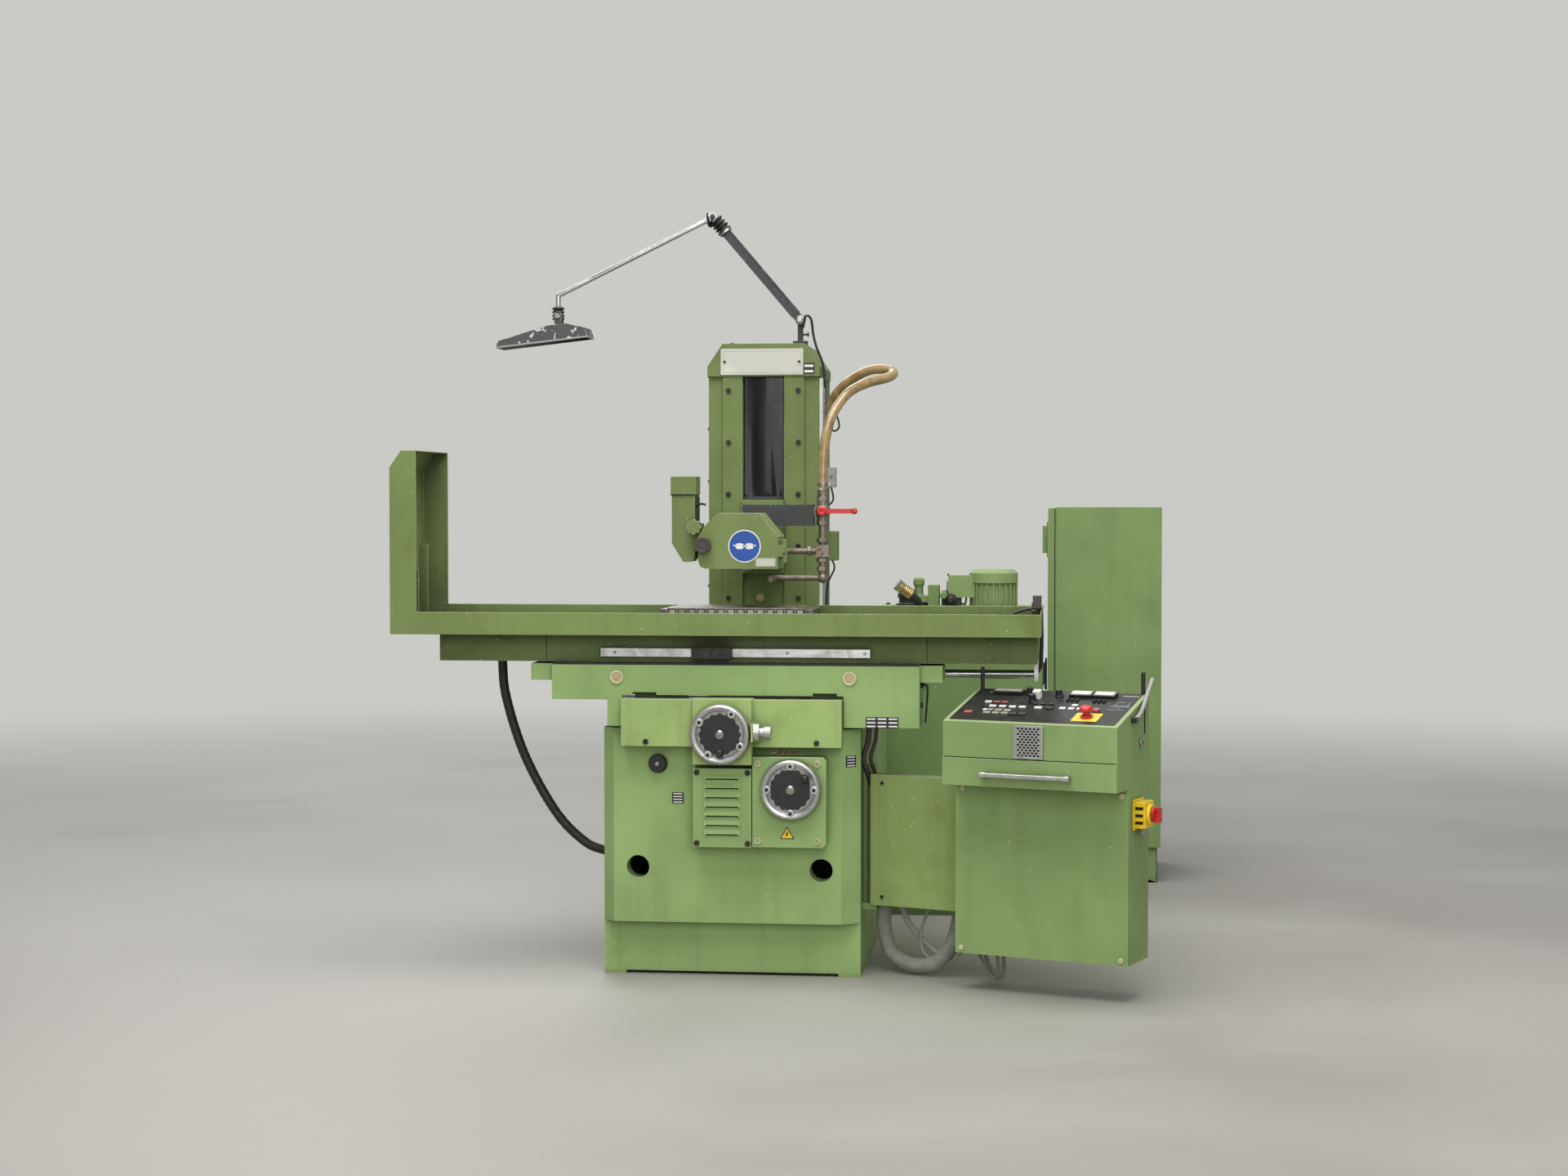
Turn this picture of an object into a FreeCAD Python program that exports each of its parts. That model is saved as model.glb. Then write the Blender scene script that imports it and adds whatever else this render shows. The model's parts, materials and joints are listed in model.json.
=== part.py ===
import FreeCAD, Part
import math
import os
import re

import Sketcher

# A hydraulic surface grinder. +X is the operator's right, +Y runs from the front to the back,
# +Z is up. The origin lies on the floor, under the column's middle, at the plinth's front plane.
# All sizes are millimetres and angles are degrees.

DIMENSIONS = {
    # working fits
    "slide_gap": 0.05,
    "pin_gap": 0.05,
    "sheet": 3,
    "hinge_pin": 8,
    # base
    "base_left": -395,
    "base_right": 365,
    "base_depth": 1080,
    "base_front": -40,
    "base_top": 730,
    "base_wall": 30,
    "plinth_top": 160,
    "foot_height": 9,
    "foot_width": 65,
    "left_chamfer": 36,
    "right_chamfer": 54,
    "deck_thickness": 50,
    "lift_hole": 34,
    "lift_left_x": -288,
    "lift_left_z": 322,
    "lift_right_x": 253,
    "lift_right_z": 318,
    "rail_inner": 230,
    "rail_outer": 300,
    "rail_front": -20,
    "rail_back": 600,
    "rail_engage": 8,
    # control boxes on the base front
    "cover_left": -328,
    "cover_right": 317,
    "cover_low": 683,
    "cover_top": 820,
    "cover_front": -100,
    "wheel_box_left": -114,
    "wheel_box_right": 58,
    "wheel_box_low": 633,
    "wheel_box_front": -122,
    "louvre_left": -116,
    "louvre_right": 55,
    "louvre_low": 390,
    "louvre_top": 620,
    "louvre_pitch": 27,
    "louvre_lowest": 425,
    "louvre_count": 7,
    "louvre_length": 106,
    "louvre_proud": 8,
    "louvre_height": 15,
    "feed_box_left": 58,
    "feed_box_right": 273,
    "feed_box_low": 392,
    "feed_box_top": 655,
    "feed_box_front": -104,
    # handwheels
    "vertical_wheel_x": -31,
    "vertical_wheel_z": 723,
    "cross_wheel_x": 172,
    "cross_wheel_z": 563,
    "handwheel_radius": 89,
    "handwheel_dish": 67,
    "handwheel_depth": 26,
    "handwheel_gap": 7,
    "hub_radius": 22,
    "grip_radius": 10,
    "grip_length": 22,
    "grip_circle": 54,
    "feed_shaft": 12,
    "cross_screw_radius": 14,
    "cross_screw_end": 540,
    "cross_nut_y": 300,
    "nut_slot_half": 150,
    "bearing_rib_front": 500,
    # fitting beside the upper handwheel, and selector knob
    "plunger_radius": 19,
    "plunger_collar": 29,
    "plunger_y": -131,
    "plunger_z": 729,
    "lug_gap": 2,
    "lug_thickness": 6,
    "lug_front": -158,
    "lug_half": 26,
    "selector_x": -227,
    "selector_z": 628,
    "selector_radius": 28,
    # saddle
    "saddle_half": 540,
    "saddle_front": -60,
    "saddle_back": 470,
    "saddle_low": 829,
    "saddle_top": 917,
    "apron": 25,
    "apron_low": 738,
    "left_leg": -375,
    "left_wing_low": 815,
    "apron_cut_left": -330,
    "apron_cut_right": 320,
    "table_way_top": 925,
    "front_way_from": -30,
    "front_way_to": 80,
    "rear_way_from": 205,
    "rear_way_to": 265,
    "trough_half": 515,
    "trough_from": 95,
    "trough_to": 195,
    "trough_floor": 845,
    "guard_reach": 66,
    "guard_low": 870,
    "way_guard_top": 919,
    "way_guard_depth": 120,
    # table drive
    "drive_y": 145,
    "drive_z": 885,
    "cylinder_half": 370,
    "cylinder_radius": 32,
    "cylinder_bore": 25,
    "rod_radius": 12,
    "rod_end": 868,
    "rod_lug": 12,
    # table
    "table_half": 880,
    "table_front": -40,
    "table_back": 270,
    "table_low": 925.05,
    "table_top": 1005,
    "rail_half": 396,
    "rail_mid_hole": 155,
    "slot_front": 40,
    "slot_back": 170,
    "rail_low": 941,
    "dog_rail_top": 965,
    "dog_rail_depth": 10,
    "dog_low": 937,
    "dog_top": 969,
    "dog_depth": 20,
    "left_dog_from": -125,
    "dog_meet": -67,
    "right_dog_to": -7,
    # splash tray and chuck
    "tray_left": -1015,
    "tray_right": 890,
    "tray_front": -100,
    "tray_back": 300,
    "tray_rim": 1071,
    "tray_back_rim": 1080,
    "tray_floor": 4,
    "hood_right": -935,
    "hood_top": 1545,
    "hood_chamfer_x": 35,
    "hood_chamfer_z": 50,
    "chuck_half": 225,
    "chuck_front": -20,
    "chuck_back": 230,
    "chuck_top": 1083,
    "chuck_cap": 22,
    # column
    "column_x": 7,
    "column_half": 175,
    "column_front": 620,
    "column_back": 1000,
    "column_top": 1790,
    "column_cheek": 57,
    "column_wall": 60,
    "slot_half": 66,
    "crown_thickness": 40,
    "window_half": 92,
    "window_low": 1000,
    "window_top": 1650,
    "strip_width": 64,
    "strip_thickness": 8,
    "strip_low": 745,
    "strip_screw_inset": 19,
    "strip_screw_low": 925,
    "strip_screw_top": 1745,
    "strip_screws": 6,
    "cap_top": 1893,
    "cap_front": 608,
    "cap_corner_x": 48,
    "cap_corner_z": 72,
    "screw_head": 8,
    "screw_proud": 4,
    # elevating drive
    "elevator_x": -88,
    "elevator_y": 770,
    "elevator_radius": 15,
    "gear_case_top": 790,
    # head
    "spindle_x": 7,
    "spindle_z": 1258,
    "slide_low": 1150,
    "slide_top": 1400,
    "slide_front": 590,
    "slide_tail": 800,
    "slide_half": 118,
    "skirt_low": 850,
    "housing_half": 64,
    "housing_front": 150,
    "barrel_radius": 62,
    "barrel_back": 1010,
    "shaft_radius": 20,
    "bearing_radius": 44,
    "bearing_width": 40,
    "motor_radius": 88,
    "motor_length": 240,
    "carrier_front": 205,
    "carrier_back": 250,
    "carrier_left": -9,
    "carrier_right": 206,
    "carrier_top": 1386,
    # wheel and guard
    "wheel_radius": 70,
    "wheel_width": 40,
    "wheel_front": 50,
    "flange_radius": 38,
    "nose_radius": 25,
    "guard_left": -111,
    "guard_right": 128,
    "guard_floor": 1198,
    "guard_crown": 1361,
    "guard_front": -10,
    "guard_back": 150,
    "guard_wall": 5,
    "door_thickness": 12,
    "door_pin_x": 141,
    "door_pin_radius": 5,
    "door_knuckle": 9,
    "door_knuckle_low": 1218,
    "door_knuckle_top": 1284,
    "guard_knob_x": -95,
    "guard_knob_z": 1267,
    "guard_knob_radius": 23,
    "guard_knob_depth": 26,
    # extraction duct
    "duct_left": -200,
    "duct_right": -128,
    "duct_low": 1217,
    "duct_top": 1469,
    "duct_front": 30,
    "duct_back": 120,
    "duct_collar": 54,
    "star_x": -126,
    "star_z": 1320,
    "star_radius": 23,
    "star_depth": 24,
    # coolant
    "valve_x": 232,
    "valve_y": 228,
    "valve_z": 1366,
    "pipe_radius": 13,
    "valve_body": 24,
    "valve_height": 1430,
    "tee_z": 1246,
    "elbow_z": 1165,
    "spout_x": 88,
    "lever_length": 98,
    "hose_radius": 15,
    "hose_top": 1772,
    "hose_loop_x": 418,
    "hose_bracket_x": 200,
    "hose_bracket_y": 700,
    "hose_bracket_z": 1700,
    # lamp
    "lamp_x": 116,
    "lamp_y": 700,
    "lamp_post_top": 1972,
    "post_radius": 9,
    "post_foot": 24,
    "elbow_dx": -280,
    "elbow_dz": 329,
    "reach_dx": -503,
    "reach_dz": -245,
    "lamp_drop": 66,
    "tube_radius": 8,
    "arm_width": 30,
    "arm_depth": 26,
    "shade_length": 300,
    "shade_depth": 120,
    "shade_height": 52,
    "shade_offset": -52,
    "shade_tilt": -6.5,
    # console, in a frame that starts at its hinge and is turned with the swing arm
    "console_x": 392,
    "console_y": 100,
    "console_angle": 21,
    "arm_from": 22,
    "arm_to": 333,
    "arm_front": -60,
    "arm_low": 209,
    "arm_top": 594,
    "knuckle_radius": 15,
    "hinge_lug": 18,
    "desk_left": 333,
    "desk_right": 852,
    "desk_body_front": -150,
    "desk_back": 20,
    "desk_body_low": 107,
    "desk_low": 598,
    "desk_front": -240,
    "desk_front_top": 778,
    "desk_rear_top": 853,
    "drawer_top": 676,
    "drawer_back": -30,
    "drawer_wall": 6,
    "panel_tilt": 16.6,
    "stop_u": 741,
    "stop_v": -180,
    "stop_radius": 19,
    "rate_u": 542,
    "rate_v": -82,
    "rate_radius": 13,
    "switch_v": -75,
    "switch_z": 525,
    "switch_radius": 21,
    "switch_reach": 46,
    # hydraulic unit
    "tank_left": 320,
    "tank_right": 880,
    "tank_front": 1150,
    "tank_back": 1600,
    "tank_top": 1030,
    "tank_foot": 60,
    "pump_motor_x": 715,
    "pump_motor_y": 1280,
    "pump_motor_radius": 82,
    "pump_motor_top": 1165,
    # electric cabinet
    "cabinet_left": 922,
    "cabinet_right": 1305,
    "cabinet_front": 2000,
    "cabinet_back": 2600,
    "cabinet_plinth": 130,
    "handle_low": 1205,
    "handle_top": 1305,
    "cabinet_top": 1373,
    "door_depth": 30,
    "knob_stem": 6,
    "vent_left": 550,
    "vent_right": 634,
    "vent_low": 692,
    "vent_top": 764,
    "door_pin_y": 2592,
    # drain hose
    "drain_x": -745,
    "drain_y": 200,
    "drain_end_x": -425,
    "drain_end_z": 330,
    "drain_radius": 14.5,
}

doc = FreeCAD.newDocument("surface_grinder")
sheet = doc.addObject("Spreadsheet::Sheet", "Dims")
for row, (alias, value) in enumerate(DIMENSIONS.items(), start=1):
    sheet.set(f"A{row}", alias)
    sheet.set(f"B{row}", str(value))
    sheet.setAlias(f"B{row}", alias)
doc.recompute()

Vector = FreeCAD.Vector
Rotation = FreeCAD.Rotation
Placement = FreeCAD.Placement
TOWARDS = {"X": Rotation(Vector(0, 1, 0), 90), "Y": Rotation(Vector(1, 0, 0), -90), "Z": Rotation()}
PLANE_SIGN = {"XY": 1, "XZ": -1, "YZ": 1}
PARTS = []


# ---------------------------------------------------------------- building helpers


def link(expression):
    """Point every dimension name in an expression at the spreadsheet."""
    return re.sub(r"\b[a-z][a-z_]*\b(?!\()", r"Dims.\g<0>", str(expression))


def size(expression):
    """The value an expression has now, for places that can't hold an expression."""
    return float(cell_value(expression))


def cell_value(expression):
    """Work out an expression of dimension names with the sheet's own values."""
    result = sheet.evalExpression(link(expression))
    return getattr(result, "Value", result)


def bind(item, **links):
    """Bind properties to expressions; base_x stands for Placement.Base.x."""
    for name, expression in links.items():
        path = name.replace("base_", "Placement.Base.")
        item.setExpression(path, link(expression))
    return item


def block(x, y, z):
    """A box between pairs of planes."""
    item = doc.addObject("Part::Box", "Block")
    bind(item, Length=f"({x[1]}) - ({x[0]})", Width=f"({y[1]}) - ({y[0]})", Height=f"({z[1]}) - ({z[0]})")
    return bind(item, base_x=x[0], base_y=y[0], base_z=z[0])


def bar(axis, across, radius, span):
    """A round bar along an axis; across holds its other two coordinates in X, Y, Z order."""
    item = doc.addObject("Part::Cylinder", "Bar")
    item.Placement = Placement(Vector(), TOWARDS[axis])
    place = dict(zip([name for name in "xyz" if name != axis.lower()], across))
    place[axis.lower()] = span[0]
    bind(item, Radius=radius, Height=f"({span[1]}) - ({span[0]})")
    return bind(item, base_x=place["x"], base_y=place["y"], base_z=place["z"])


def taper(axis, across, radii, span):
    """A cone along an axis, its first radius at the start of the span."""
    item = doc.addObject("Part::Cone", "Taper")
    item.Placement = Placement(Vector(), TOWARDS[axis])
    place = dict(zip([name for name in "xyz" if name != axis.lower()], across))
    place[axis.lower()] = span[0]
    bind(item, Radius1=radii[0], Radius2=radii[1], Height=f"({span[1]}) - ({span[0]})")
    return bind(item, base_x=place["x"], base_y=place["y"], base_z=place["z"])


def ball(centre, radius):
    item = doc.addObject("Part::Sphere", "Ball")
    return bind(item, Radius=radius, base_x=centre[0], base_y=centre[1], base_z=centre[2])


def join(*items):
    item = doc.addObject("Part::MultiFuse", "Join")
    item.Shapes = list(items)
    item.Refine = True
    return item


def carve(base, *tools):
    item = doc.addObject("Part::Cut", "Carve")
    item.Base = base
    item.Tool = tools[0] if len(tools) == 1 else join(*tools)
    return item


def group(items):
    item = doc.addObject("Part::Compound", "Group")
    item.Links = list(items)
    return item


def piece(item, label):
    """Name a finished sub-part, so that it is written out."""
    item.Label = label
    PARTS.append(item)
    return item


def turn_with_arm(item):
    """Set a console sub-part in the frame of its swing arm."""
    item.Placement = Placement(Vector(), Rotation(Vector(0, 0, 1), -size("console_angle")))
    return bind(item, base_x="console_x", base_y="console_y")


class Casting:
    """A PartDesign body made of sketches that are padded and pocketed between two planes."""

    def __init__(self):
        self.body = doc.addObject("PartDesign::Body", "Casting")

    def sketch(self, plane, level, points=(), circle=None):
        """A closed outline, or a circle, on an origin plane shifted to a level."""
        item = self.body.newObject("Sketcher::SketchObject", "Outline")
        origin = [f for f in self.body.Origin.OriginFeatures if f.Role == f"{plane}_Plane"][0]
        item.AttachmentSupport = (origin, [""])
        item.MapMode = "FlatFace"
        item.setExpression("AttachmentOffset.Base.z", link(f"({level}) * {PLANE_SIGN[plane]}"))
        if circle:
            across, up, radius = circle
            centre = Vector(size(across), size(up), 0)
            edge = item.addGeometry(Part.Circle(centre, Vector(0, 0, 1), size(radius)))
            self.measure(item, "Radius", (edge,), radius)
            self.measure(item, "DistanceX", (-1, 1, edge, 3), across)
            self.measure(item, "DistanceY", (-1, 1, edge, 3), up)
        corners = [Vector(size(across), size(up), 0) for across, up in points]
        for index, corner in enumerate(corners):
            item.addGeometry(Part.LineSegment(corner, corners[(index + 1) % len(corners)]))
        for index, (across, up) in enumerate(points):
            item.addConstraint(Sketcher.Constraint("Coincident", index, 2, (index + 1) % len(points), 1))
            self.measure(item, "DistanceX", (-1, 1, index, 1), across)
            self.measure(item, "DistanceY", (-1, 1, index, 1), up)
        return item

    def measure(self, item, kind, where, expression):
        """Add a sketch dimension that follows the sheet."""
        index = item.addConstraint(Sketcher.Constraint(kind, *where, size(expression)))
        item.setExpression(f"Constraints[{index}]", link(expression))

    def pad(self, plane, span, points=(), circle=None):
        profile = self.sketch(plane, span[0], points, circle)
        feature = self.body.newObject("PartDesign::Pad", "Pad")
        feature.Profile = profile
        feature.Reversed = PLANE_SIGN[plane] < 0
        feature.setExpression("Length", link(f"({span[1]}) - ({span[0]})"))
        doc.recompute()
        return feature

    def pocket(self, plane, span, points=(), circle=None):
        volume = self.body.Shape.Volume
        profile = self.sketch(plane, span[0], points, circle)
        feature = self.body.newObject("PartDesign::Pocket", "Pocket")
        feature.Profile = profile
        feature.Reversed = PLANE_SIGN[plane] > 0
        feature.setExpression("Length", link(f"({span[1]}) - ({span[0]})"))
        doc.recompute()
        if self.body.Shape.Volume >= volume:
            raise RuntimeError(f"a pocket of {self.body.Label} cuts nothing")
        return feature

    def array(self, features, axis, length, count):
        """Repeat features in a straight row."""
        item = self.body.newObject("PartDesign::LinearPattern", "Row")
        item.Originals = features
        line = [f for f in self.body.Origin.OriginFeatures if f.Role == f"{axis}_Axis"][0]
        item.Direction = (line, [""])
        item.setExpression("Length", link(length))
        item.setExpression("Occurrences", link(count))
        self.body.Tip = item
        doc.recompute()
        return item

    def spin(self, points):
        """Turn a (radius, height) outline round the body's own Z axis."""
        profile = self.sketch("XZ", "0", points)
        feature = self.body.newObject("PartDesign::Revolution", "Turned")
        feature.Profile = profile
        feature.ReferenceAxis = (profile, ["V_Axis"])
        feature.Angle = 360
        doc.recompute()
        return feature

    def stand(self, axis, **place):
        """Lay the body's own Z axis along a machine axis at a place."""
        self.body.Placement = Placement(Vector(), TOWARDS[axis])
        bind(self.body, **place)
        return self.body


def rectangle(across, up):
    """Corner points of a rectangle between two pairs of lines."""
    return [(across[0], up[0]), (across[1], up[0]), (across[1], up[1]), (across[0], up[1])]


def mirrored(low, high):
    """Both signs of a span, for pieces that come in left and right pairs."""
    return [(low, high), (f"-({high})", f"-({low})")]


def hose(points, radius):
    """A bent hose along a smooth curve through points."""
    curve = Part.BSplineCurve()
    curve.interpolate([Vector(*(size(value) for value in point)) for point in points])
    path = Part.Wire(curve.toShape())
    start = curve.value(curve.FirstParameter)
    direction = curve.tangent(curve.FirstParameter)[0]
    section = Part.Wire(Part.makeCircle(size(radius), start, direction))
    item = doc.addObject("Part::Feature", "Hose")
    item.Shape = path.makePipeShell([section], True, True)
    return item


# ---------------------------------------------------------------- base


def base_casting():
    """Hollow bed with its deck, saddle rails, gear case, hinge lugs and lifting holes."""
    casting = Casting()
    ends = ("base_left", "base_right")
    casting.pad("XY", ("0", "plinth_top"), rectangle(ends, ("0", "base_depth")))
    casting.pad("XY", ("plinth_top", "base_top"), [
        ("base_left", "0"),
        ("base_left + left_chamfer", "base_front"),
        ("base_right - right_chamfer", "base_front"),
        ("base_right", "0"),
        ("base_right", "base_depth"),
        ("base_left", "base_depth"),
    ])
    inside = ("base_left + base_wall", "base_right - base_wall")
    casting.pocket("XY", ("0", "base_top - deck_thickness"),
                   rectangle(inside, ("base_wall", "base_depth - base_wall")))
    casting.pocket("XZ", ("0", "base_wall"),
                   rectangle(("base_left + foot_width", "base_right - foot_width"), ("0", "foot_height")))
    for low, high in mirrored("rail_inner", "rail_outer"):
        casting.pad("XY", ("base_top", "saddle_low + rail_engage - slide_gap"),
                    rectangle((low, high), ("rail_front", "rail_back")))
    gear_case = rectangle(("elevator_x - 22", "vertical_wheel_x + 22"),
                          ("elevator_y - 40", "elevator_y + 40"))
    casting.pad("XY", ("base_top", "gear_case_top"), gear_case)
    casting.pad("XY", ("cross_wheel_z - 60", "base_top - deck_thickness"),
                rectangle(("cross_wheel_x - 45", "cross_wheel_x + 45"),
                          ("bearing_rib_front", "cross_screw_end")))
    casting.pocket("XZ", ("base_front", "elevator_y - 10"),
                   circle=("vertical_wheel_x", "vertical_wheel_z", "feed_shaft + pin_gap"))
    casting.pocket("XY", ("base_top - 25", "base_top"),
                   rectangle(("vertical_wheel_x - 20", "vertical_wheel_x + 20"),
                             ("base_front + base_wall", "elevator_y - 40")))
    casting.pocket("XY", ("base_top - 10", "gear_case_top"),
                   circle=("elevator_x", "elevator_y", "elevator_radius + pin_gap"))
    casting.pocket("XY", ("base_top - deck_thickness", "base_top"),
                   rectangle(("cross_wheel_x - 28", "cross_wheel_x + 28"),
                             ("cross_nut_y - nut_slot_half", "cross_nut_y + nut_slot_half")))
    casting.pocket("XZ", ("base_front", "cross_screw_end"),
                   circle=("cross_wheel_x", "cross_wheel_z", "cross_screw_radius + pin_gap"))
    for side in ("left", "right"):
        casting.pocket("XZ", ("base_front", "base_depth"),
                       circle=(f"lift_{side}_x", f"lift_{side}_z", "lift_hole"))
    casting.pocket("XZ", ("base_front", "base_front + base_wall"),
                   circle=("selector_x", "selector_z", "knob_stem + pin_gap"))
    for low, high in (("arm_low - hinge_lug - 2", "arm_low - 2"),
                      ("arm_top + 2", "arm_top + hinge_lug + 2")):
        casting.pad("XY", (low, high),
                    rectangle(("base_right", "console_x + 16"), ("console_y - 22", "console_y + 22")))
        casting.pocket("XY", (low, high), circle=("console_x", "console_y", "hinge_pin + pin_gap"))
    piece(casting.body, "base_casting")


def control_cover():
    """Sheet cover over the front of the ways, with the upper handwheel box."""
    casting = Casting()
    casting.pad("XZ", ("cover_front", "base_front"),
                rectangle(("cover_left", "cover_right"), ("cover_low", "cover_top")))
    casting.pad("XZ", ("wheel_box_front", "base_front"),
                rectangle(("wheel_box_left", "wheel_box_right"), ("wheel_box_low", "cover_top + 3")))
    casting.pocket("XZ", ("cover_front + 2 * sheet", "base_front"),
                   rectangle(("cover_left + sheet", "wheel_box_left - 6"),
                             ("cover_low + sheet", "cover_top - sheet")))
    casting.pocket("XZ", ("cover_front + 2 * sheet", "base_front"),
                   rectangle(("wheel_box_right + 6", "cover_right - sheet"),
                             ("cover_low + sheet", "cover_top - sheet")))
    casting.pocket("XZ", ("wheel_box_front", "base_front"),
                   circle=("vertical_wheel_x", "vertical_wheel_z", "feed_shaft + 1"))
    lug = ("wheel_box_right + lug_gap", "wheel_box_right + lug_gap + lug_thickness")
    casting.pad("YZ", lug, rectangle(("lug_front", "cover_front + sheet"),
                                     ("plunger_z - lug_half", "plunger_z + lug_half")))
    casting.pocket("YZ", lug, circle=("plunger_y", "plunger_z", "knob_stem + pin_gap"))
    piece(casting.body, "control_cover")


def louvre_cover():
    """Vented cover below the upper handwheel: one louvre, repeated upwards."""
    casting = Casting()
    middle = "(louvre_left + louvre_right) / 2"
    slot = (f"{middle} - louvre_length / 2", f"{middle} + louvre_length / 2")
    casting.pad("XZ", ("cover_front", "base_front"),
                rectangle(("louvre_left", "louvre_right"), ("louvre_low", "louvre_top")))
    casting.pocket("XZ", ("cover_front + 2 * sheet", "base_front"),
                   rectangle(("louvre_left + 16", "louvre_right - 16"),
                             ("louvre_low + 16", "louvre_top - 16")))
    hood = casting.pad("YZ", slot, [
        ("cover_front", "louvre_lowest"),
        ("cover_front - louvre_proud", "louvre_lowest"),
        ("cover_front - louvre_proud / 3", "louvre_lowest + louvre_height * 0.8"),
        ("cover_front", "louvre_lowest + louvre_height"),
    ])
    vent = casting.pocket("XZ", ("cover_front - louvre_proud", "cover_front + 2 * sheet"),
                          rectangle((f"{slot[0]} + 5", f"{slot[1]} - 5"),
                                    ("louvre_lowest", "louvre_lowest + 4")))
    casting.array([hood, vent], "Z", "louvre_pitch * (louvre_count - 1)", "louvre_count")
    piece(casting.body, "louvre_cover")


def feed_housing():
    """Box of the lower handwheel, with chamfered front corners."""
    casting = Casting()
    corner = "10"
    casting.pad("XZ", ("feed_box_front", "base_front"), [
        ("feed_box_left", "feed_box_low"),
        (f"feed_box_right - {corner}", "feed_box_low"),
        ("feed_box_right", f"feed_box_low + {corner}"),
        ("feed_box_right", f"feed_box_top - {corner}"),
        (f"feed_box_right - {corner}", "feed_box_top"),
        ("feed_box_left", "feed_box_top"),
    ])
    casting.pocket("XZ", ("feed_box_front + 12", "base_front"),
                   rectangle(("feed_box_left + 14", "feed_box_right - 14"),
                             ("feed_box_low + 14", "feed_box_top - 14")))
    casting.pocket("XZ", ("feed_box_front", "base_front"),
                   circle=("cross_wheel_x", "cross_wheel_z", "cross_screw_radius + 1"))
    piece(casting.body, "feed_housing")


def socket_screw(x, z, face):
    """Cap screw head with its hexagon socket, standing on a face that looks to -Y."""
    head = bar("Y", (x, z), "screw_head", (f"{face} - screw_proud", face))
    socket = doc.addObject("Part::Prism", "Socket")
    socket.Polygon = 6
    socket.Placement = Placement(Vector(), TOWARDS["Y"])
    bind(socket, Circumradius="screw_head * 0.55", Height="screw_proud / 2")
    bind(socket, base_x=x, base_y=f"{face} - screw_proud", base_z=z)
    return carve(head, socket)


def socket_screws():
    """Cap screws of the louvre cover, the control cover and the column's way strips."""
    screws = []
    for x in ("louvre_left + 11", "louvre_right - 11"):
        for z in ("louvre_low + 12", "louvre_top - 12"):
            screws.append(socket_screw(x, z, "cover_front"))
    for x in ("cover_left + 73", "cover_right - 72"):
        screws.append(socket_screw(x, "cover_low + 13", "cover_front"))
    rise = "(strip_screw_top - strip_screw_low) / (strip_screws - 1)"
    for side in (-1, 1):
        x = f"column_x + {side} * (slot_half + strip_width - strip_screw_inset)"
        for number in range(int(size("strip_screws"))):
            z = f"strip_screw_low + {number} * {rise}"
            screws.append(socket_screw(x, z, "column_front - strip_thickness"))
    piece(group(screws), "socket_screws")


# ---------------------------------------------------------------- hand controls


def handwheel(x, z, face, label):
    """Dished aluminium handwheel with four screw lugs inside its rim; it stands in front of face."""
    casting = Casting()
    casting.spin([
        ("hub_radius / 2 - 0.5", "0"),
        ("handwheel_radius - 14", "0"),
        ("handwheel_radius - 3", "5"),
        ("handwheel_radius", "handwheel_depth / 2"),
        ("handwheel_radius - 4", "handwheel_depth - 3"),
        ("handwheel_radius - 10", "handwheel_depth"),
        ("handwheel_dish + 4", "handwheel_depth - 3"),
        ("handwheel_dish", "handwheel_depth - 10"),
        ("hub_radius / 2 - 0.5", "handwheel_depth - 10"),
    ])
    wheel = casting.stand("Y", base_x="0", base_y="0", base_z="0")
    wheel.Placement = Placement(Vector(), Rotation(Vector(1, 0, 0), 90))
    bind(wheel, base_x=x, base_y=f"{face} - handwheel_gap", base_z=z)
    front = f"{face} - handwheel_gap - handwheel_depth"
    grip_hole = bar("Y", (f"{x} + grip_circle * {GRIP_DIRECTION[label][0]}",
                          f"{z} + grip_circle * {GRIP_DIRECTION[label][1]}"),
                    "grip_radius / 2 + pin_gap", (f"{front} - 1", f"{face} - handwheel_gap + 1"))
    piece(carve(wheel, grip_hole), label)


# Where each crank grip sits on its wheel, as a share of the grip circle in X and Z.
GRIP_DIRECTION = {"vertical_handwheel": (0.02, -1.0), "cross_handwheel": (0.8, 0.6)}


def handwheels():
    """The vertical feed wheel, above, and the cross feed wheel, below."""
    handwheel("vertical_wheel_x", "vertical_wheel_z", "wheel_box_front", "vertical_handwheel")
    handwheel("cross_wheel_x", "cross_wheel_z", "feed_box_front", "cross_handwheel")


def crank(x, z, face, wheel, label):
    """Crank grip: a knob that spins on its stem in the handwheel."""
    across = (f"{x} + grip_circle * {GRIP_DIRECTION[wheel][0]}",
              f"{z} + grip_circle * {GRIP_DIRECTION[wheel][1]}")
    seat = f"{face} - handwheel_gap - handwheel_depth + 10"
    stem = bar("Y", across, "grip_radius / 2", (f"{seat} - 2", f"{face} - handwheel_gap - 2"))
    knob = bar("Y", across, "grip_radius", (f"{seat} - grip_length", f"{seat} - 1"))
    tip = taper("Y", across, ("grip_radius * 0.7", "grip_radius"),
                (f"{seat} - grip_length - 4", f"{seat} - grip_length"))
    piece(join(stem, knob, tip), label)


def cranks():
    crank("vertical_wheel_x", "vertical_wheel_z", "wheel_box_front", "vertical_handwheel", "vertical_crank")
    crank("cross_wheel_x", "cross_wheel_z", "feed_box_front", "cross_handwheel", "cross_crank")


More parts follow.
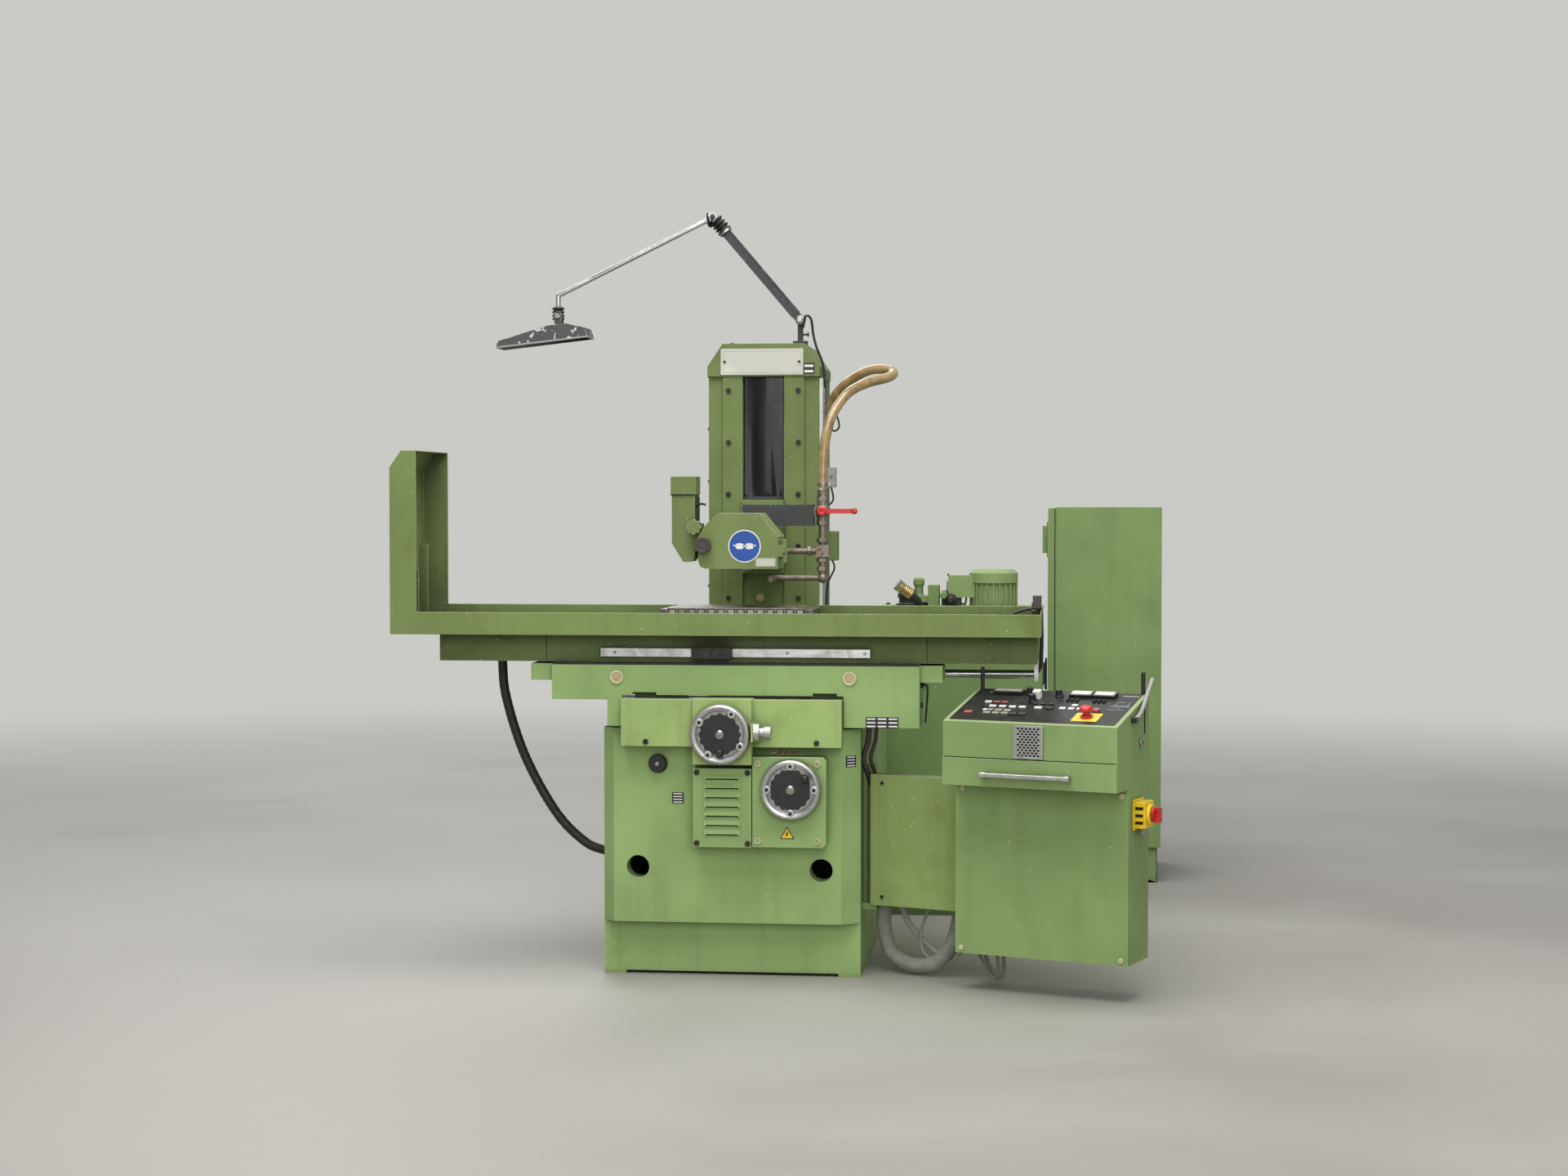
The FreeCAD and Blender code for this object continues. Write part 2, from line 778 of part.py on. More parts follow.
def shaft_with_nut(across, radius, face, end):
    """A shaft that carries a handwheel: nose in the hub bore, clamp nut in front, and the long shank."""
    seat = f"{face} - handwheel_gap - handwheel_depth + 10"
    nose = bar("Y", across, "hub_radius / 2 - 0.5", (seat, f"{face} - handwheel_gap"))
    nut = bar("Y", across, "hub_radius / 2 + 3", (f"{seat} - 7", seat))
    tip = bar("Y", across, "hub_radius / 4", (f"{seat} - 14", f"{seat} - 7"))
    shank = bar("Y", across, radius, (f"{face} - handwheel_gap", end))
    return join(nose, nut, tip, shank)


def feed_shafts():
    """The shaft to the column's gear case, and the cross feed screw; each carries its handwheel."""
    piece(shaft_with_nut(("vertical_wheel_x", "vertical_wheel_z"), "feed_shaft", "wheel_box_front",
                         "elevator_y - 12"), "vertical_feed_shaft")
    piece(shaft_with_nut(("cross_wheel_x", "cross_wheel_z"), "cross_screw_radius", "feed_box_front",
                         "cross_screw_end - 2"), "cross_screw")


def plunger_knob():
    """Pull knob of the zero-setting fitting, in the lug beside the upper handwheel."""
    across = ("plunger_y", "plunger_z")
    lug = "wheel_box_right + lug_gap + lug_thickness"
    collar = bar("X", across, "plunger_collar", (f"{lug} + 0.5", f"{lug} + 17"))
    neck = bar("X", across, "plunger_radius * 0.8", (f"{lug} + 17", f"{lug} + 32"))
    tip = bar("X", across, "plunger_radius", (f"{lug} + 32", f"{lug} + 50"))
    stem = bar("X", across, "knob_stem", (f"{lug} - lug_thickness + 0.5", f"{lug} + 0.5"))
    piece(join(collar, neck, tip, stem), "plunger_knob")


def selector_knob():
    """Small rotary knob on the base front."""
    across = ("selector_x", "selector_z")
    skirt = bar("Y", across, "selector_radius", ("base_front - 8", "base_front - 1"))
    body = taper("Y", across, ("selector_radius * 0.8", "selector_radius * 0.92"),
                 ("base_front - 26", "base_front - 8"))
    pin = bar("Y", across, "selector_radius / 5", ("base_front - 29", "base_front - 26"))
    stem = bar("Y", across, "knob_stem", ("base_front - 1", "base_front + base_wall - 5"))
    piece(join(skirt, body, pin, stem), "selector_knob")


# ---------------------------------------------------------------- saddle


def saddle_casting():
    """Cross saddle: slab with apron, rail grooves, table ways and a trough for the cylinder."""
    casting = Casting()
    whole = ("-saddle_half", "saddle_half")
    casting.pad("XZ", ("saddle_front", "saddle_front + apron"), [
        ("-saddle_half", "saddle_top"),
        ("-saddle_half", "left_wing_low"),
        ("left_leg", "left_wing_low"),
        ("left_leg", "apron_low"),
        ("apron_cut_left", "apron_low"),
        ("apron_cut_left", "saddle_low"),
        ("apron_cut_right", "saddle_low"),
        ("apron_cut_right", "apron_low"),
        ("saddle_half", "apron_low"),
        ("saddle_half", "saddle_top"),
    ])
    casting.pad("XZ", ("saddle_front + apron", "saddle_back"),
                rectangle(whole, ("saddle_low", "saddle_top")))
    casting.pad("XZ", ("saddle_front + apron", "saddle_front + 8 * apron"),
                rectangle(("saddle_half - apron", "saddle_half"), ("apron_low", "saddle_low")))
    for low, high in mirrored("rail_inner - slide_gap", "rail_outer + slide_gap"):
        casting.pocket("XZ", ("saddle_front", "saddle_back"),
                       rectangle((low, high), ("saddle_low - 1", "saddle_low + rail_engage")))
    for low, high in (("front_way_from", "front_way_to"), ("rear_way_from", "rear_way_to")):
        casting.pad("XY", ("saddle_top", "table_way_top"), rectangle(whole, (low, high)))
    casting.pocket("XY", ("trough_floor", "saddle_top"),
                   rectangle(("-trough_half", "trough_half"), ("trough_from", "trough_to")))
    casting.pocket("YZ", ("trough_half", "saddle_half"), circle=("drive_y", "drive_z", "rod_radius + 4"))
    piece(casting.body, "saddle_casting")


def way_guards():
    """Channel-shaped guards over the ends of the front table way."""
    guards = []
    for start, end in (("-saddle_half - guard_reach", "-saddle_half"),
                       ("saddle_half", "saddle_half + guard_reach")):
        outer = block((start, end), ("saddle_front + 20", "way_guard_depth"),
                      ("guard_low", "way_guard_top"))
        inner = block((f"{start} - 1", f"{end} + 1"),
                      ("saddle_front + 20 + sheet", "way_guard_depth - sheet"),
                      ("guard_low - 1", "way_guard_top - sheet"))
        guards.append(carve(outer, inner))
    piece(group(guards), "way_guards")


def cross_nut():
    """Bracket under the saddle with the nut of the cross screw."""
    web = block(("cross_wheel_x - 15", "cross_wheel_x + 15"), ("cross_nut_y - 20", "cross_nut_y + 20"),
                ("cross_wheel_z + 30", "saddle_low"))
    nut = block(("cross_wheel_x - 30", "cross_wheel_x + 30"), ("cross_nut_y - 30", "cross_nut_y + 30"),
                ("cross_wheel_z - 30", "cross_wheel_z + 30"))
    bore = bar("Y", ("cross_wheel_x", "cross_wheel_z"), "cross_screw_radius + pin_gap",
               ("cross_nut_y - 40", "cross_nut_y + 40"))
    piece(carve(join(web, nut), bore), "cross_nut")


def table_cylinder():
    """Hydraulic cylinder in the saddle's trough, on two feet."""
    across = ("drive_y", "drive_z")
    tube = bar("X", across, "cylinder_radius", ("-cylinder_half", "cylinder_half"))
    chamber = bar("X", across, "cylinder_bore", ("-cylinder_half + 20", "cylinder_half - 20"))
    gland = bar("X", across, "rod_radius + pin_gap", ("0", "cylinder_half + 1"))
    feet = []
    for place in ("-cylinder_half + 40", "cylinder_half - 80"):
        feet.append(block((place, f"{place} + 40"), ("drive_y - 40", "drive_y + 40"),
                          ("trough_floor", "drive_z - cylinder_bore - 2")))
    piece(carve(join(tube, *feet), chamber, gland), "table_cylinder")


def piston_rod():
    """Piston, rod and the end lug that is bolted under the table."""
    across = ("drive_y", "drive_z")
    piston = bar("X", across, "cylinder_bore - pin_gap", ("-15", "15"))
    rod = bar("X", across, "rod_radius", ("0", "rod_end + rod_lug"))
    lug = block(("rod_end", "rod_end + rod_lug"), ("drive_y - 20", "drive_y + 20"),
                ("drive_z - 20", "table_low"))
    piece(join(piston, rod, lug), "piston_rod")


# ---------------------------------------------------------------- table


def table_casting():
    """Long table with two T-slots and a recess under each side of the ways."""
    casting = Casting()
    casting.pad("XZ", ("table_front", "table_back"),
                rectangle(("-table_half", "table_half"), ("table_low", "table_top")))
    for centre in ("slot_front", "slot_back"):
        casting.pocket("YZ", ("-table_half", "table_half"),
                       rectangle((f"{centre} - 7", f"{centre} + 7"), ("table_top - 24", "table_top")))
        casting.pocket("YZ", ("-table_half", "table_half"),
                       rectangle((f"{centre} - 12", f"{centre} + 12"),
                                 ("table_top - 24", "table_top - 14")))
    piece(casting.body, "table_casting")


def splash_tray():
    """Folded splash tray; its left end rises into a hood that is open to the right."""
    casting = Casting()
    casting.pad("XZ", ("tray_front", "tray_back"), [
        ("tray_left", "table_top"),
        ("tray_right", "table_top"),
        ("tray_right", "tray_rim"),
        ("hood_right", "tray_rim"),
        ("hood_right", "hood_top"),
        ("tray_left + hood_chamfer_x", "hood_top"),
        ("tray_left", "hood_top - hood_chamfer_z"),
    ])
    casting.pocket("XZ", ("tray_front + sheet", "tray_back - sheet"), [
        ("tray_left + sheet", "table_top + tray_floor"),
        ("tray_right - sheet", "table_top + tray_floor"),
        ("tray_right - sheet", "tray_rim + 20"),
        ("hood_right + 5", "tray_rim + 20"),
        ("hood_right + 5", "hood_top - sheet"),
        ("tray_left + hood_chamfer_x + 1", "hood_top - sheet"),
        ("tray_left + sheet", "hood_top - hood_chamfer_z - 1"),
    ])
    casting.pad("XZ", ("tray_back - sheet", "tray_back"),
                rectangle(("hood_right", "tray_right"), ("tray_rim", "tray_back_rim")))
    piece(casting.body, "splash_tray")


def magnetic_chuck():
    """Electro-magnetic chuck: body, lower end caps and a row of pole inlays at the front edge."""
    low = "table_top + tray_floor"
    body = block(("-chuck_half + chuck_cap", "chuck_half - chuck_cap"), ("chuck_front", "chuck_back"),
                 (low, "chuck_top"))
    ends = []
    for start, end in (("-chuck_half", "-chuck_half + chuck_cap"),
                       ("chuck_half - chuck_cap", "chuck_half")):
        ends.append(block((start, end), ("chuck_front + 4", "chuck_back - 4"), (low, "chuck_top - 4")))
    piece(join(body, *ends), "magnetic_chuck")


def dog_rail():
    """Aluminium rail on the table front, with three screw holes."""
    rail = block(("-rail_half", "rail_half"), ("table_front - dog_rail_depth", "table_front"),
                 ("rail_low", "dog_rail_top"))
    holes = []
    for x in ("-rail_half + 42", "rail_mid_hole", "rail_half - 15"):
        holes.append(bar("Y", (x, "(rail_low + dog_rail_top) / 2"), "5",
                         ("table_front - dog_rail_depth - 1", "table_front - 4")))
    piece(carve(rail, *holes), "dog_rail")


def dog(start, end, label):
    """Reversing dog that is clamped round the rail."""
    body = block((start, end), ("table_front - dog_depth - 12", "table_front - slide_gap"),
                 ("dog_low", "dog_top"))
    groove = block((f"{start} - 1", f"{end} + 1"),
                   ("table_front - dog_rail_depth - slide_gap", "table_front"),
                   ("rail_low - slide_gap", "dog_rail_top + slide_gap"))
    screw = bar("Y", (f"({start} + {end}) / 2", "(dog_low + dog_top) / 2"), "7",
                ("table_front - dog_depth - 15", "table_front - dog_depth - 12"))
    piece(join(carve(body, groove), screw), label)


def dogs():
    dog("left_dog_from", "dog_meet - slide_gap", "left_dog")
    dog("dog_meet + slide_gap", "right_dog_to", "right_dog")


def drain_hose():
    """Rubber drain hose from the table's end down past the side of the base."""
    points = [
        ("drain_x", "drain_y", "table_low - 5"),
        ("drain_x + 30", "drain_y", "table_low - 170"),
        ("drain_x + 110", "drain_y", "table_low - 360"),
        ("drain_x + 220", "drain_y", "table_low - 500"),
        ("drain_end_x", "drain_y", "drain_end_z"),
    ]
    piece(hose(points, "drain_radius"), "drain_hose")


# ---------------------------------------------------------------- column


def column_casting():
    """Hollow column with the front slot of the head slide and a rear window for its barrel."""
    casting = Casting()
    left = "column_x - column_half"
    right = "column_x + column_half"
    casting.pad("XY", ("base_top", "column_top"), rectangle((left, right), ("column_front", "column_back")))
    inside = (f"{left} + column_cheek", f"{right} - column_cheek")
    casting.pocket("XY", ("base_top", "column_top - crown_thickness"),
                   rectangle(inside, ("column_front + column_wall", "column_back - column_wall")))
    casting.pocket("XY", ("base_top", "column_top"),
                   rectangle(("column_x - slot_half", "column_x + slot_half"),
                             ("column_front", "column_front + column_wall")))
    casting.pocket("XZ", ("column_back - column_wall", "column_back"),
                   rectangle(("column_x - window_half", "column_x + window_half"),
                             ("window_low", "window_top")))
    casting.pocket("XY", ("column_top - crown_thickness", "column_top - 10"),
                   circle=("elevator_x", "elevator_y", "elevator_radius + pin_gap"))
    piece(casting.body, "column_casting")


def way_cover_strips():
    """Two bolted strips on the column front, beside the slot."""
    strips = []
    for start, end in (("column_x - slot_half - strip_width", "column_x - slot_half"),
                       ("column_x + slot_half", "column_x + slot_half + strip_width")):
        strips.append(block((start, end), ("column_front - strip_thickness", "column_front"),
                            ("strip_low", "column_top")))
    piece(group(strips), "way_cover_strips")


def column_cap():
    """Cap of the column with two chamfered shoulders and the socket of the lamp post."""
    casting = Casting()
    left = "column_x - column_half - 3"
    right = "column_x + column_half + 3"
    casting.pad("XZ", ("cap_front", "column_back"), [
        (left, "column_top"),
        (right, "column_top"),
        (right, "cap_top - cap_corner_z"),
        (f"{right} - cap_corner_x", "cap_top"),
        (f"{left} + cap_corner_x", "cap_top"),
        (left, "cap_top - cap_corner_z"),
    ])
    casting.pocket("XY", ("cap_top - 40", "cap_top"), circle=("lamp_x", "lamp_y", "post_radius + pin_gap"))
    piece(casting.body, "column_cap")


def column_bellows():
    """Rubber slot cover between the cap and the head slide."""
    piece(block(("column_x - slot_half + 2", "column_x + slot_half - 2"),
                ("column_front + 12", "column_front + 22"),
                ("slide_top", "column_top - 2")), "column_bellows")


def elevating_screw():
    """Vertical screw of the head, from the gear case to the column crown."""
    across = ("elevator_x", "elevator_y")
    piece(bar("Z", across, "elevator_radius", ("base_top - 8", "column_top - 12")), "elevating_screw")


# ---------------------------------------------------------------- head


def head_slide():
    """Head slide: tongue in the front slot, wide block inside the column, and the slot's lower cover."""
    tongue = block(("column_x - slot_half + slide_gap", "column_x + slot_half - slide_gap"),
                   ("slide_front", "column_front + column_wall + slide_gap"), ("slide_low", "slide_top"))
    inner = block(("column_x - slide_half + 2", "column_x + slide_half - 2"),
                  ("column_front + column_wall + slide_gap", "slide_tail"), ("slide_low", "slide_top"))
    skirt = block(("column_x - slot_half + slide_gap", "column_x + slot_half - slide_gap"),
                  ("column_front + 4", "column_front + 12"), ("skirt_low", "slide_low"))
    barrel = bar("Y", ("spindle_x", "spindle_z"), "barrel_radius", ("slide_front - 1", "slide_tail + 1"))
    nut = bar("Z", ("elevator_x", "elevator_y"), "elevator_radius + pin_gap",
              ("slide_low - 1", "slide_top + 1"))
    recess = block(("column_x - slot_half", "column_x + slot_half"),
                   ("slide_front - 1", "column_front + 4"),
                   ("slide_low - 1", "slide_low + 18"))
    piece(carve(join(tongue, inner, skirt), barrel, nut, recess), "head_slide")


def spindle_housing():
    """Square nose and round barrel round the spindle."""
    across = ("spindle_x", "spindle_z")
    nose = block(("spindle_x - housing_half", "spindle_x + housing_half"), ("housing_front", "slide_front"),
                 ("spindle_z - housing_half", "spindle_z + housing_half"))
    barrel = bar("Y", across, "barrel_radius", ("slide_front", "barrel_back"))
    bore = bar("Y", across, "bearing_radius", ("housing_front", "barrel_back + 1"))
    piece(carve(join(nose, barrel), bore), "spindle_housing")


def spindle_bearings():
    """Two bearings, one at each end of the housing's bore."""
    rings = []
    for start in ("housing_front + 15", "barrel_back - bearing_width - 15"):
        end = f"{start} + bearing_width"
        ring = bar("Y", ("spindle_x", "spindle_z"), "bearing_radius", (start, end))
        bore = bar("Y", ("spindle_x", "spindle_z"), "shaft_radius + pin_gap",
                   (f"{start} - 1", f"{end} + 1"))
        rings.append(carve(ring, bore))
    piece(group(rings), "spindle_bearings")


def spindle_shaft():
    """Spindle: nose for the wheel flange, shank through both bearings into the motor."""
    casting = Casting()
    casting.spin([
        ("0", "wheel_front - 14"),
        ("shaft_radius / 2", "wheel_front - 14"),
        ("shaft_radius / 2", "wheel_front - 4"),
        ("nose_radius", "wheel_front - 4"),
        ("nose_radius", "housing_front - 12"),
        ("shaft_radius", "housing_front - 12"),
        ("shaft_radius", "barrel_back + 150"),
        ("0", "barrel_back + 150"),
    ])
    piece(casting.stand("Y", base_x="spindle_x", base_z="spindle_z"), "spindle_shaft")


def wheel_flange():
    """Two-cheek flange that clamps the wheel on the spindle nose."""
    casting = Casting()
    casting.spin([
        ("nose_radius", "wheel_front - 4"),
        ("flange_radius - 6", "wheel_front - 4"),
        ("flange_radius", "wheel_front"),
        ("nose_radius + 8", "wheel_front"),
        ("nose_radius + 8", "wheel_front + wheel_width"),
        ("flange_radius", "wheel_front + wheel_width"),
        ("flange_radius", "wheel_front + wheel_width + 12"),
        ("nose_radius", "wheel_front + wheel_width + 12"),
    ])
    piece(casting.stand("Y", base_x="spindle_x", base_z="spindle_z"), "wheel_flange")


def grinding_wheel():
    """Straight grinding wheel with slightly broken edges."""
    casting = Casting()
    edge = "2"
    casting.spin([
        ("nose_radius + 8", "wheel_front"),
        (f"wheel_radius - {edge}", "wheel_front"),
        ("wheel_radius", f"wheel_front + {edge}"),
        ("wheel_radius", f"wheel_front + wheel_width - {edge}"),
        (f"wheel_radius - {edge}", "wheel_front + wheel_width"),
        ("nose_radius + 8", "wheel_front + wheel_width"),
    ])
    piece(casting.stand("Y", base_x="spindle_x", base_z="spindle_z"), "grinding_wheel")


def spindle_motor():
    """Flanged motor behind the column, with cooling fins and a terminal box."""
    across = ("spindle_x", "spindle_z")
    back = "barrel_back + motor_length"
    parts = [bar("Y", across, "motor_radius", ("barrel_back", back))]
    for number in range(8):
        start = f"barrel_back + 40 + {number} * 18"
        parts.append(bar("Y", across, "motor_radius + 7", (start, f"{start} + 6")))
    parts.append(block(("spindle_x - 45", "spindle_x + 45"), ("barrel_back + 60", "barrel_back + 160"),
                       ("spindle_z + motor_radius - 20", "spindle_z + motor_radius + 45")))
    bore = bar("Y", across, "shaft_radius + 5", ("barrel_back - 1", "barrel_back + 160"))
    piece(carve(join(*parts), bore), "spindle_motor")


GUARD_OUTLINE = [
    ("guard_left + 20", "guard_floor"),
    ("guard_right - 4", "guard_floor"),
    ("guard_right - 4", "guard_crown - 69"),
    ("guard_right - 60", "guard_crown"),
    ("guard_left + 57", "guard_crown"),
    ("guard_left + 18", "guard_crown - 39"),
    ("guard_left", "guard_crown - 71"),
    ("guard_left", "guard_floor + 20"),
    ("guard_left + 6", "guard_floor + 6"),
]


def wheel_guard():
    """Guard shell round the wheel, open below and in front, with its hinge lug and the duct's arm."""
    casting = Casting()
    wall = "guard_wall"
    casting.pad("XZ", ("guard_front", "guard_back"), GUARD_OUTLINE)
    casting.pocket("XZ", ("guard_front", f"guard_back - {wall}"), [
        (f"guard_left + {wall}", f"guard_floor + {wall}"),
        (f"guard_right - 4 - {wall}", f"guard_floor + {wall}"),
        (f"guard_right - 4 - {wall}", "guard_crown - 71"),
        ("guard_right - 62", f"guard_crown - {wall}"),
        ("guard_left + 58", f"guard_crown - {wall}"),
        (f"guard_left + 19 + {wall}", "guard_crown - 44"),
        (f"guard_left + {wall}", "guard_crown - 72"),
    ])
    casting.pocket("XY", ("guard_floor", f"guard_floor + {wall}"),
                   rectangle(("spindle_x - wheel_radius - 6", "spindle_x + wheel_radius + 6"),
                             ("wheel_front - 14", "wheel_front + wheel_width + 14")))
    casting.pocket("XZ", (f"guard_back - {wall}", "guard_back"),
                   circle=("spindle_x", "spindle_z", "nose_radius + 3"))
    casting.pad("XZ", ("guard_front + 2", "guard_front + 30"),
                rectangle(("guard_right - 4", "door_pin_x - door_knuckle - 1"),
                          ("door_knuckle_low", "door_knuckle_top")))
    ears = []
    for low, high in (("door_knuckle_low", "door_knuckle_low + 16"),
                      ("door_knuckle_top - 16", "door_knuckle_top")):
        ears.append(block(("guard_right - 6", "door_pin_x"), ("guard_front + 2", "guard_front + 12"),
                          (low, high)))
        ears.append(bar("Z", ("door_pin_x", "guard_front + 3"), "door_knuckle", (low, high)))
    pin = bar("Z", ("door_pin_x", "guard_front + 3"), "door_pin_radius",
              ("door_knuckle_low", "door_knuckle_top"))
    arm = block(("duct_right + 3", "guard_left"), ("duct_front - 16", "duct_back - 15"),
                ("star_z - 70", "star_z + 10"))
    boss = bar("Y", ("star_x", "star_z"), "9", ("duct_front - 18", "duct_front - 3.5"))
    bore = bar("Y", ("star_x", "star_z"), "knob_stem + pin_gap", ("duct_front - 19", "duct_front - 3"))
    piece(carve(join(casting.body, *ears, pin, arm, boss), bore), "wheel_guard")


def guard_door():
    """Front door of the guard on its vertical hinge at the right."""
    casting = Casting()
    back = "guard_front - 1"
    casting.pad("XZ", (f"{back} - door_thickness", back), GUARD_OUTLINE)
    low = "door_knuckle_low + 16.5"
    high = "door_knuckle_top - 16.5"
    knuckle = bar("Z", ("door_pin_x", "guard_front + 3"), "door_knuckle", (low, high))
    leaf = block(("guard_right - 10", "door_pin_x"), (f"{back} - door_thickness + 2", f"{back} - 1"),
                 (low, high))
    bore = bar("Z", ("door_pin_x", "guard_front + 3"), "door_pin_radius + pin_gap",
               (f"{low} - 1", f"{high} + 1"))
    knob_hole = bar("Y", ("guard_knob_x", "guard_knob_z"), "6 + pin_gap",
                    (f"{back} - door_thickness - 1", f"{back} + 1"))
    piece(carve(join(casting.body, knuckle, leaf), bore, knob_hole), "guard_door")


def guard_knob():
    """Round locking knob at the free edge of the guard door."""
    across = ("guard_knob_x", "guard_knob_z")
    face = "guard_front - 1 - door_thickness"
    grip = bar("Y", across, "guard_knob_radius", (f"{face} - guard_knob_depth", f"{face} - 5"))
    neck = bar("Y", across, "guard_knob_radius * 0.5", (f"{face} - 5", f"{face} - 0.5"))
    stem = bar("Y", across, "6", (f"{face} - 0.5", "guard_front - 1.5"))
    dimple = bar("Y", across, "guard_knob_radius * 0.7",
                 (f"{face} - guard_knob_depth - 1", f"{face} - guard_knob_depth + 2"))
    piece(carve(join(grip, neck, stem), dimple), "guard_knob")


def extraction_duct():
    """Dust duct with an open collar at the top and a mouth that is cut at a slant."""
    casting = Casting()
    casting.pad("XZ", ("duct_front", "duct_back"), [
        ("duct_left + 3", "duct_top"),
        ("duct_left + 3", "duct_low + 55"),
        ("duct_left + 36", "duct_low"),
        ("duct_right - 10", "duct_low"),
        ("duct_right", "duct_low + 12"),
        ("duct_right", "duct_top"),
    ])
    casting.pocket("XY", ("duct_low - 1", "duct_top"),
                   rectangle(("duct_left + 3 + sheet", "duct_right - sheet"),
                             ("duct_front + sheet", "duct_back - sheet")))
    collar = block(("duct_left", "duct_right + 3"), ("duct_front - 3", "duct_back + 3"),
                   ("duct_top - duct_collar", "duct_top"))
    hollow = block(("duct_left + 3 + sheet", "duct_right - sheet"),
                   ("duct_front + sheet", "duct_back - sheet"),
                   ("duct_top - duct_collar - 1", "duct_top + 1"))
    piece(join(casting.body, carve(collar, hollow)), "extraction_duct")


def star_knob():
    """Eight-lobed clamping knob of the duct."""
    front = "duct_front - 19 - star_depth"
    back = "duct_front - 19"
    across = ("star_x", "star_z")
    parts = [
        bar("Y", across, "star_radius * 0.78", (front, back)),
        bar("Y", across, "knob_stem", (back, "duct_front - 4.5")),
    ]
    lobes = 8
    for number in range(lobes):
        angle = 2 * math.pi * number / lobes
        reach = f"star_radius * {0.72 * math.cos(angle):.4f}"
        rise = f"star_radius * {0.72 * math.sin(angle):.4f}"
        parts.append(bar("Y", (f"star_x + {reach}", f"star_z + {rise}"), "star_radius * 0.28",
                         (front, back)))
    piece(join(*parts), "star_knob")


def valve_carrier():
    """Dark bar on top of the spindle housing that carries the coolant valve."""
    top = "spindle_z + housing_half"
    flat = block(("carrier_left", "carrier_right"), ("carrier_front", "carrier_back"), (top, "carrier_top"))
    piece(flat, "valve_carrier")


def coolant_valve():
    """Ball valve with its pipes: riser, tee, spray pipe to the guard, elbow and lower spout."""
    at = ("valve_x", "valve_y")
    parts = [
        bar("Z", at, "pipe_radius", ("elbow_z", "valve_height")),
        bar("Z", at, "valve_body * 0.75", ("valve_z - 30", "valve_z + 30")),
        ball(("valve_x", "valve_y", "valve_z"), "valve_body"),
        bar("Z", at, "pipe_radius + 4", ("valve_height - 22", "valve_height")),
        block(("valve_x - 19", "valve_x + 19"), ("valve_y - 19", "valve_y + 19"),
              ("tee_z - 18", "tee_z + 18")),
        bar("X", ("valve_y", "tee_z"), "pipe_radius * 0.75", ("spindle_x + housing_half", "valve_x")),
        ball(("valve_x", "valve_y", "elbow_z"), "pipe_radius + 3"),
        bar("X", ("valve_y", "elbow_z"), "pipe_radius * 0.7", ("spout_x", "valve_x")),
        bar("Y", ("spout_x", "elbow_z"), "pipe_radius * 0.7", ("guard_back - 40", "valve_y")),
        ball(("spout_x", "valve_y", "elbow_z"), "pipe_radius * 0.7"),
        bar("Y", ("valve_x", "valve_z"), "7", ("valve_y - 34", "valve_y")),
        block(("carrier_right", "valve_x"), ("valve_y - 12", "valve_y + 12"),
              ("valve_z - 12", "valve_z + 12")),
    ]
    piece(join(*parts), "coolant_valve")


def valve_lever():
    """Lever of the ball valve, on the valve's stem."""
    back = "valve_y - 26"
    across = ("valve_x", "valve_z")
    hub = bar("Y", across, "14", (f"{back} - 12", back))
    arm = block(("valve_x", "valve_x + lever_length"), (f"{back} - 10", f"{back} - 2"),
                ("valve_z - 7", "valve_z + 7"))
    end = bar("Y", ("valve_x + lever_length", "valve_z"), "9", (f"{back} - 11", f"{back} - 1"))
    bore = bar("Y", across, "7 + pin_gap", (f"{back} - 9", f"{back} + 1"))
    piece(carve(join(hub, arm, end), bore), "valve_lever")


def coolant_hose():
    """Hose from the valve, over a high loop, to the bracket on the column's side."""
    points = [
        ("valve_x", "valve_y", "valve_height + 5"),
        ("valve_x + 2", "valve_y", "valve_height + 90"),
        ("valve_x + 34", "valve_y + 20", "valve_height + 225"),
        ("hose_loop_x - 60", "valve_y + 90", "hose_top - 25"),
        ("hose_loop_x", "valve_y + 190", "hose_top - 12"),
        ("hose_loop_x - 70", "valve_y + 330", "hose_top - 20"),
        ("hose_bracket_x + 22", "hose_bracket_y - 40", "hose_bracket_z + 12"),
        ("hose_bracket_x + 2", "hose_bracket_y", "hose_bracket_z - 20"),
    ]
    piece(hose(points, "hose_radius"), "coolant_hose")


# ---------------------------------------------------------------- lamp


def lamp_joint(dx, dz):
    """Where a lamp pivot lies, from the top of the post."""
    return (f"lamp_x + {dx}", f"lamp_post_top + {dz}")


def lamp_post():
    """Post that swivels in the column cap; a fork pin at its top carries the arm."""
    at = ("lamp_x", "lamp_y")
    stem = bar("Z", at, "post_radius", ("cap_top - 38", "lamp_post_top - 8"))
    foot = bar("Z", at, "post_foot", ("cap_top + slide_gap", "cap_top + 12"))
    head = bar("Y", ("lamp_x", "lamp_post_top"), "16", ("lamp_y - 10", "lamp_y + 10"))
    pin = bar("Y", ("lamp_x", "lamp_post_top"), "hinge_pin", ("lamp_y - 22", "lamp_y + 22"))
    piece(join(stem, foot, head, pin), "lamp_post")


def cheeks(x, z, half):
    """Two ears with a common bore, each side of a pin."""
    ears = []
    for start, end in mirrored(f"{half} + 1", f"{half} + 9"):
        ear = bar("Y", (x, z), "15", (f"lamp_y + {start}", f"lamp_y + {end}"))
        ears.append(ear)
    bore = bar("Y", (x, z), "hinge_pin + pin_gap", ("lamp_y - 40", "lamp_y + 40"))
    return ears, bore


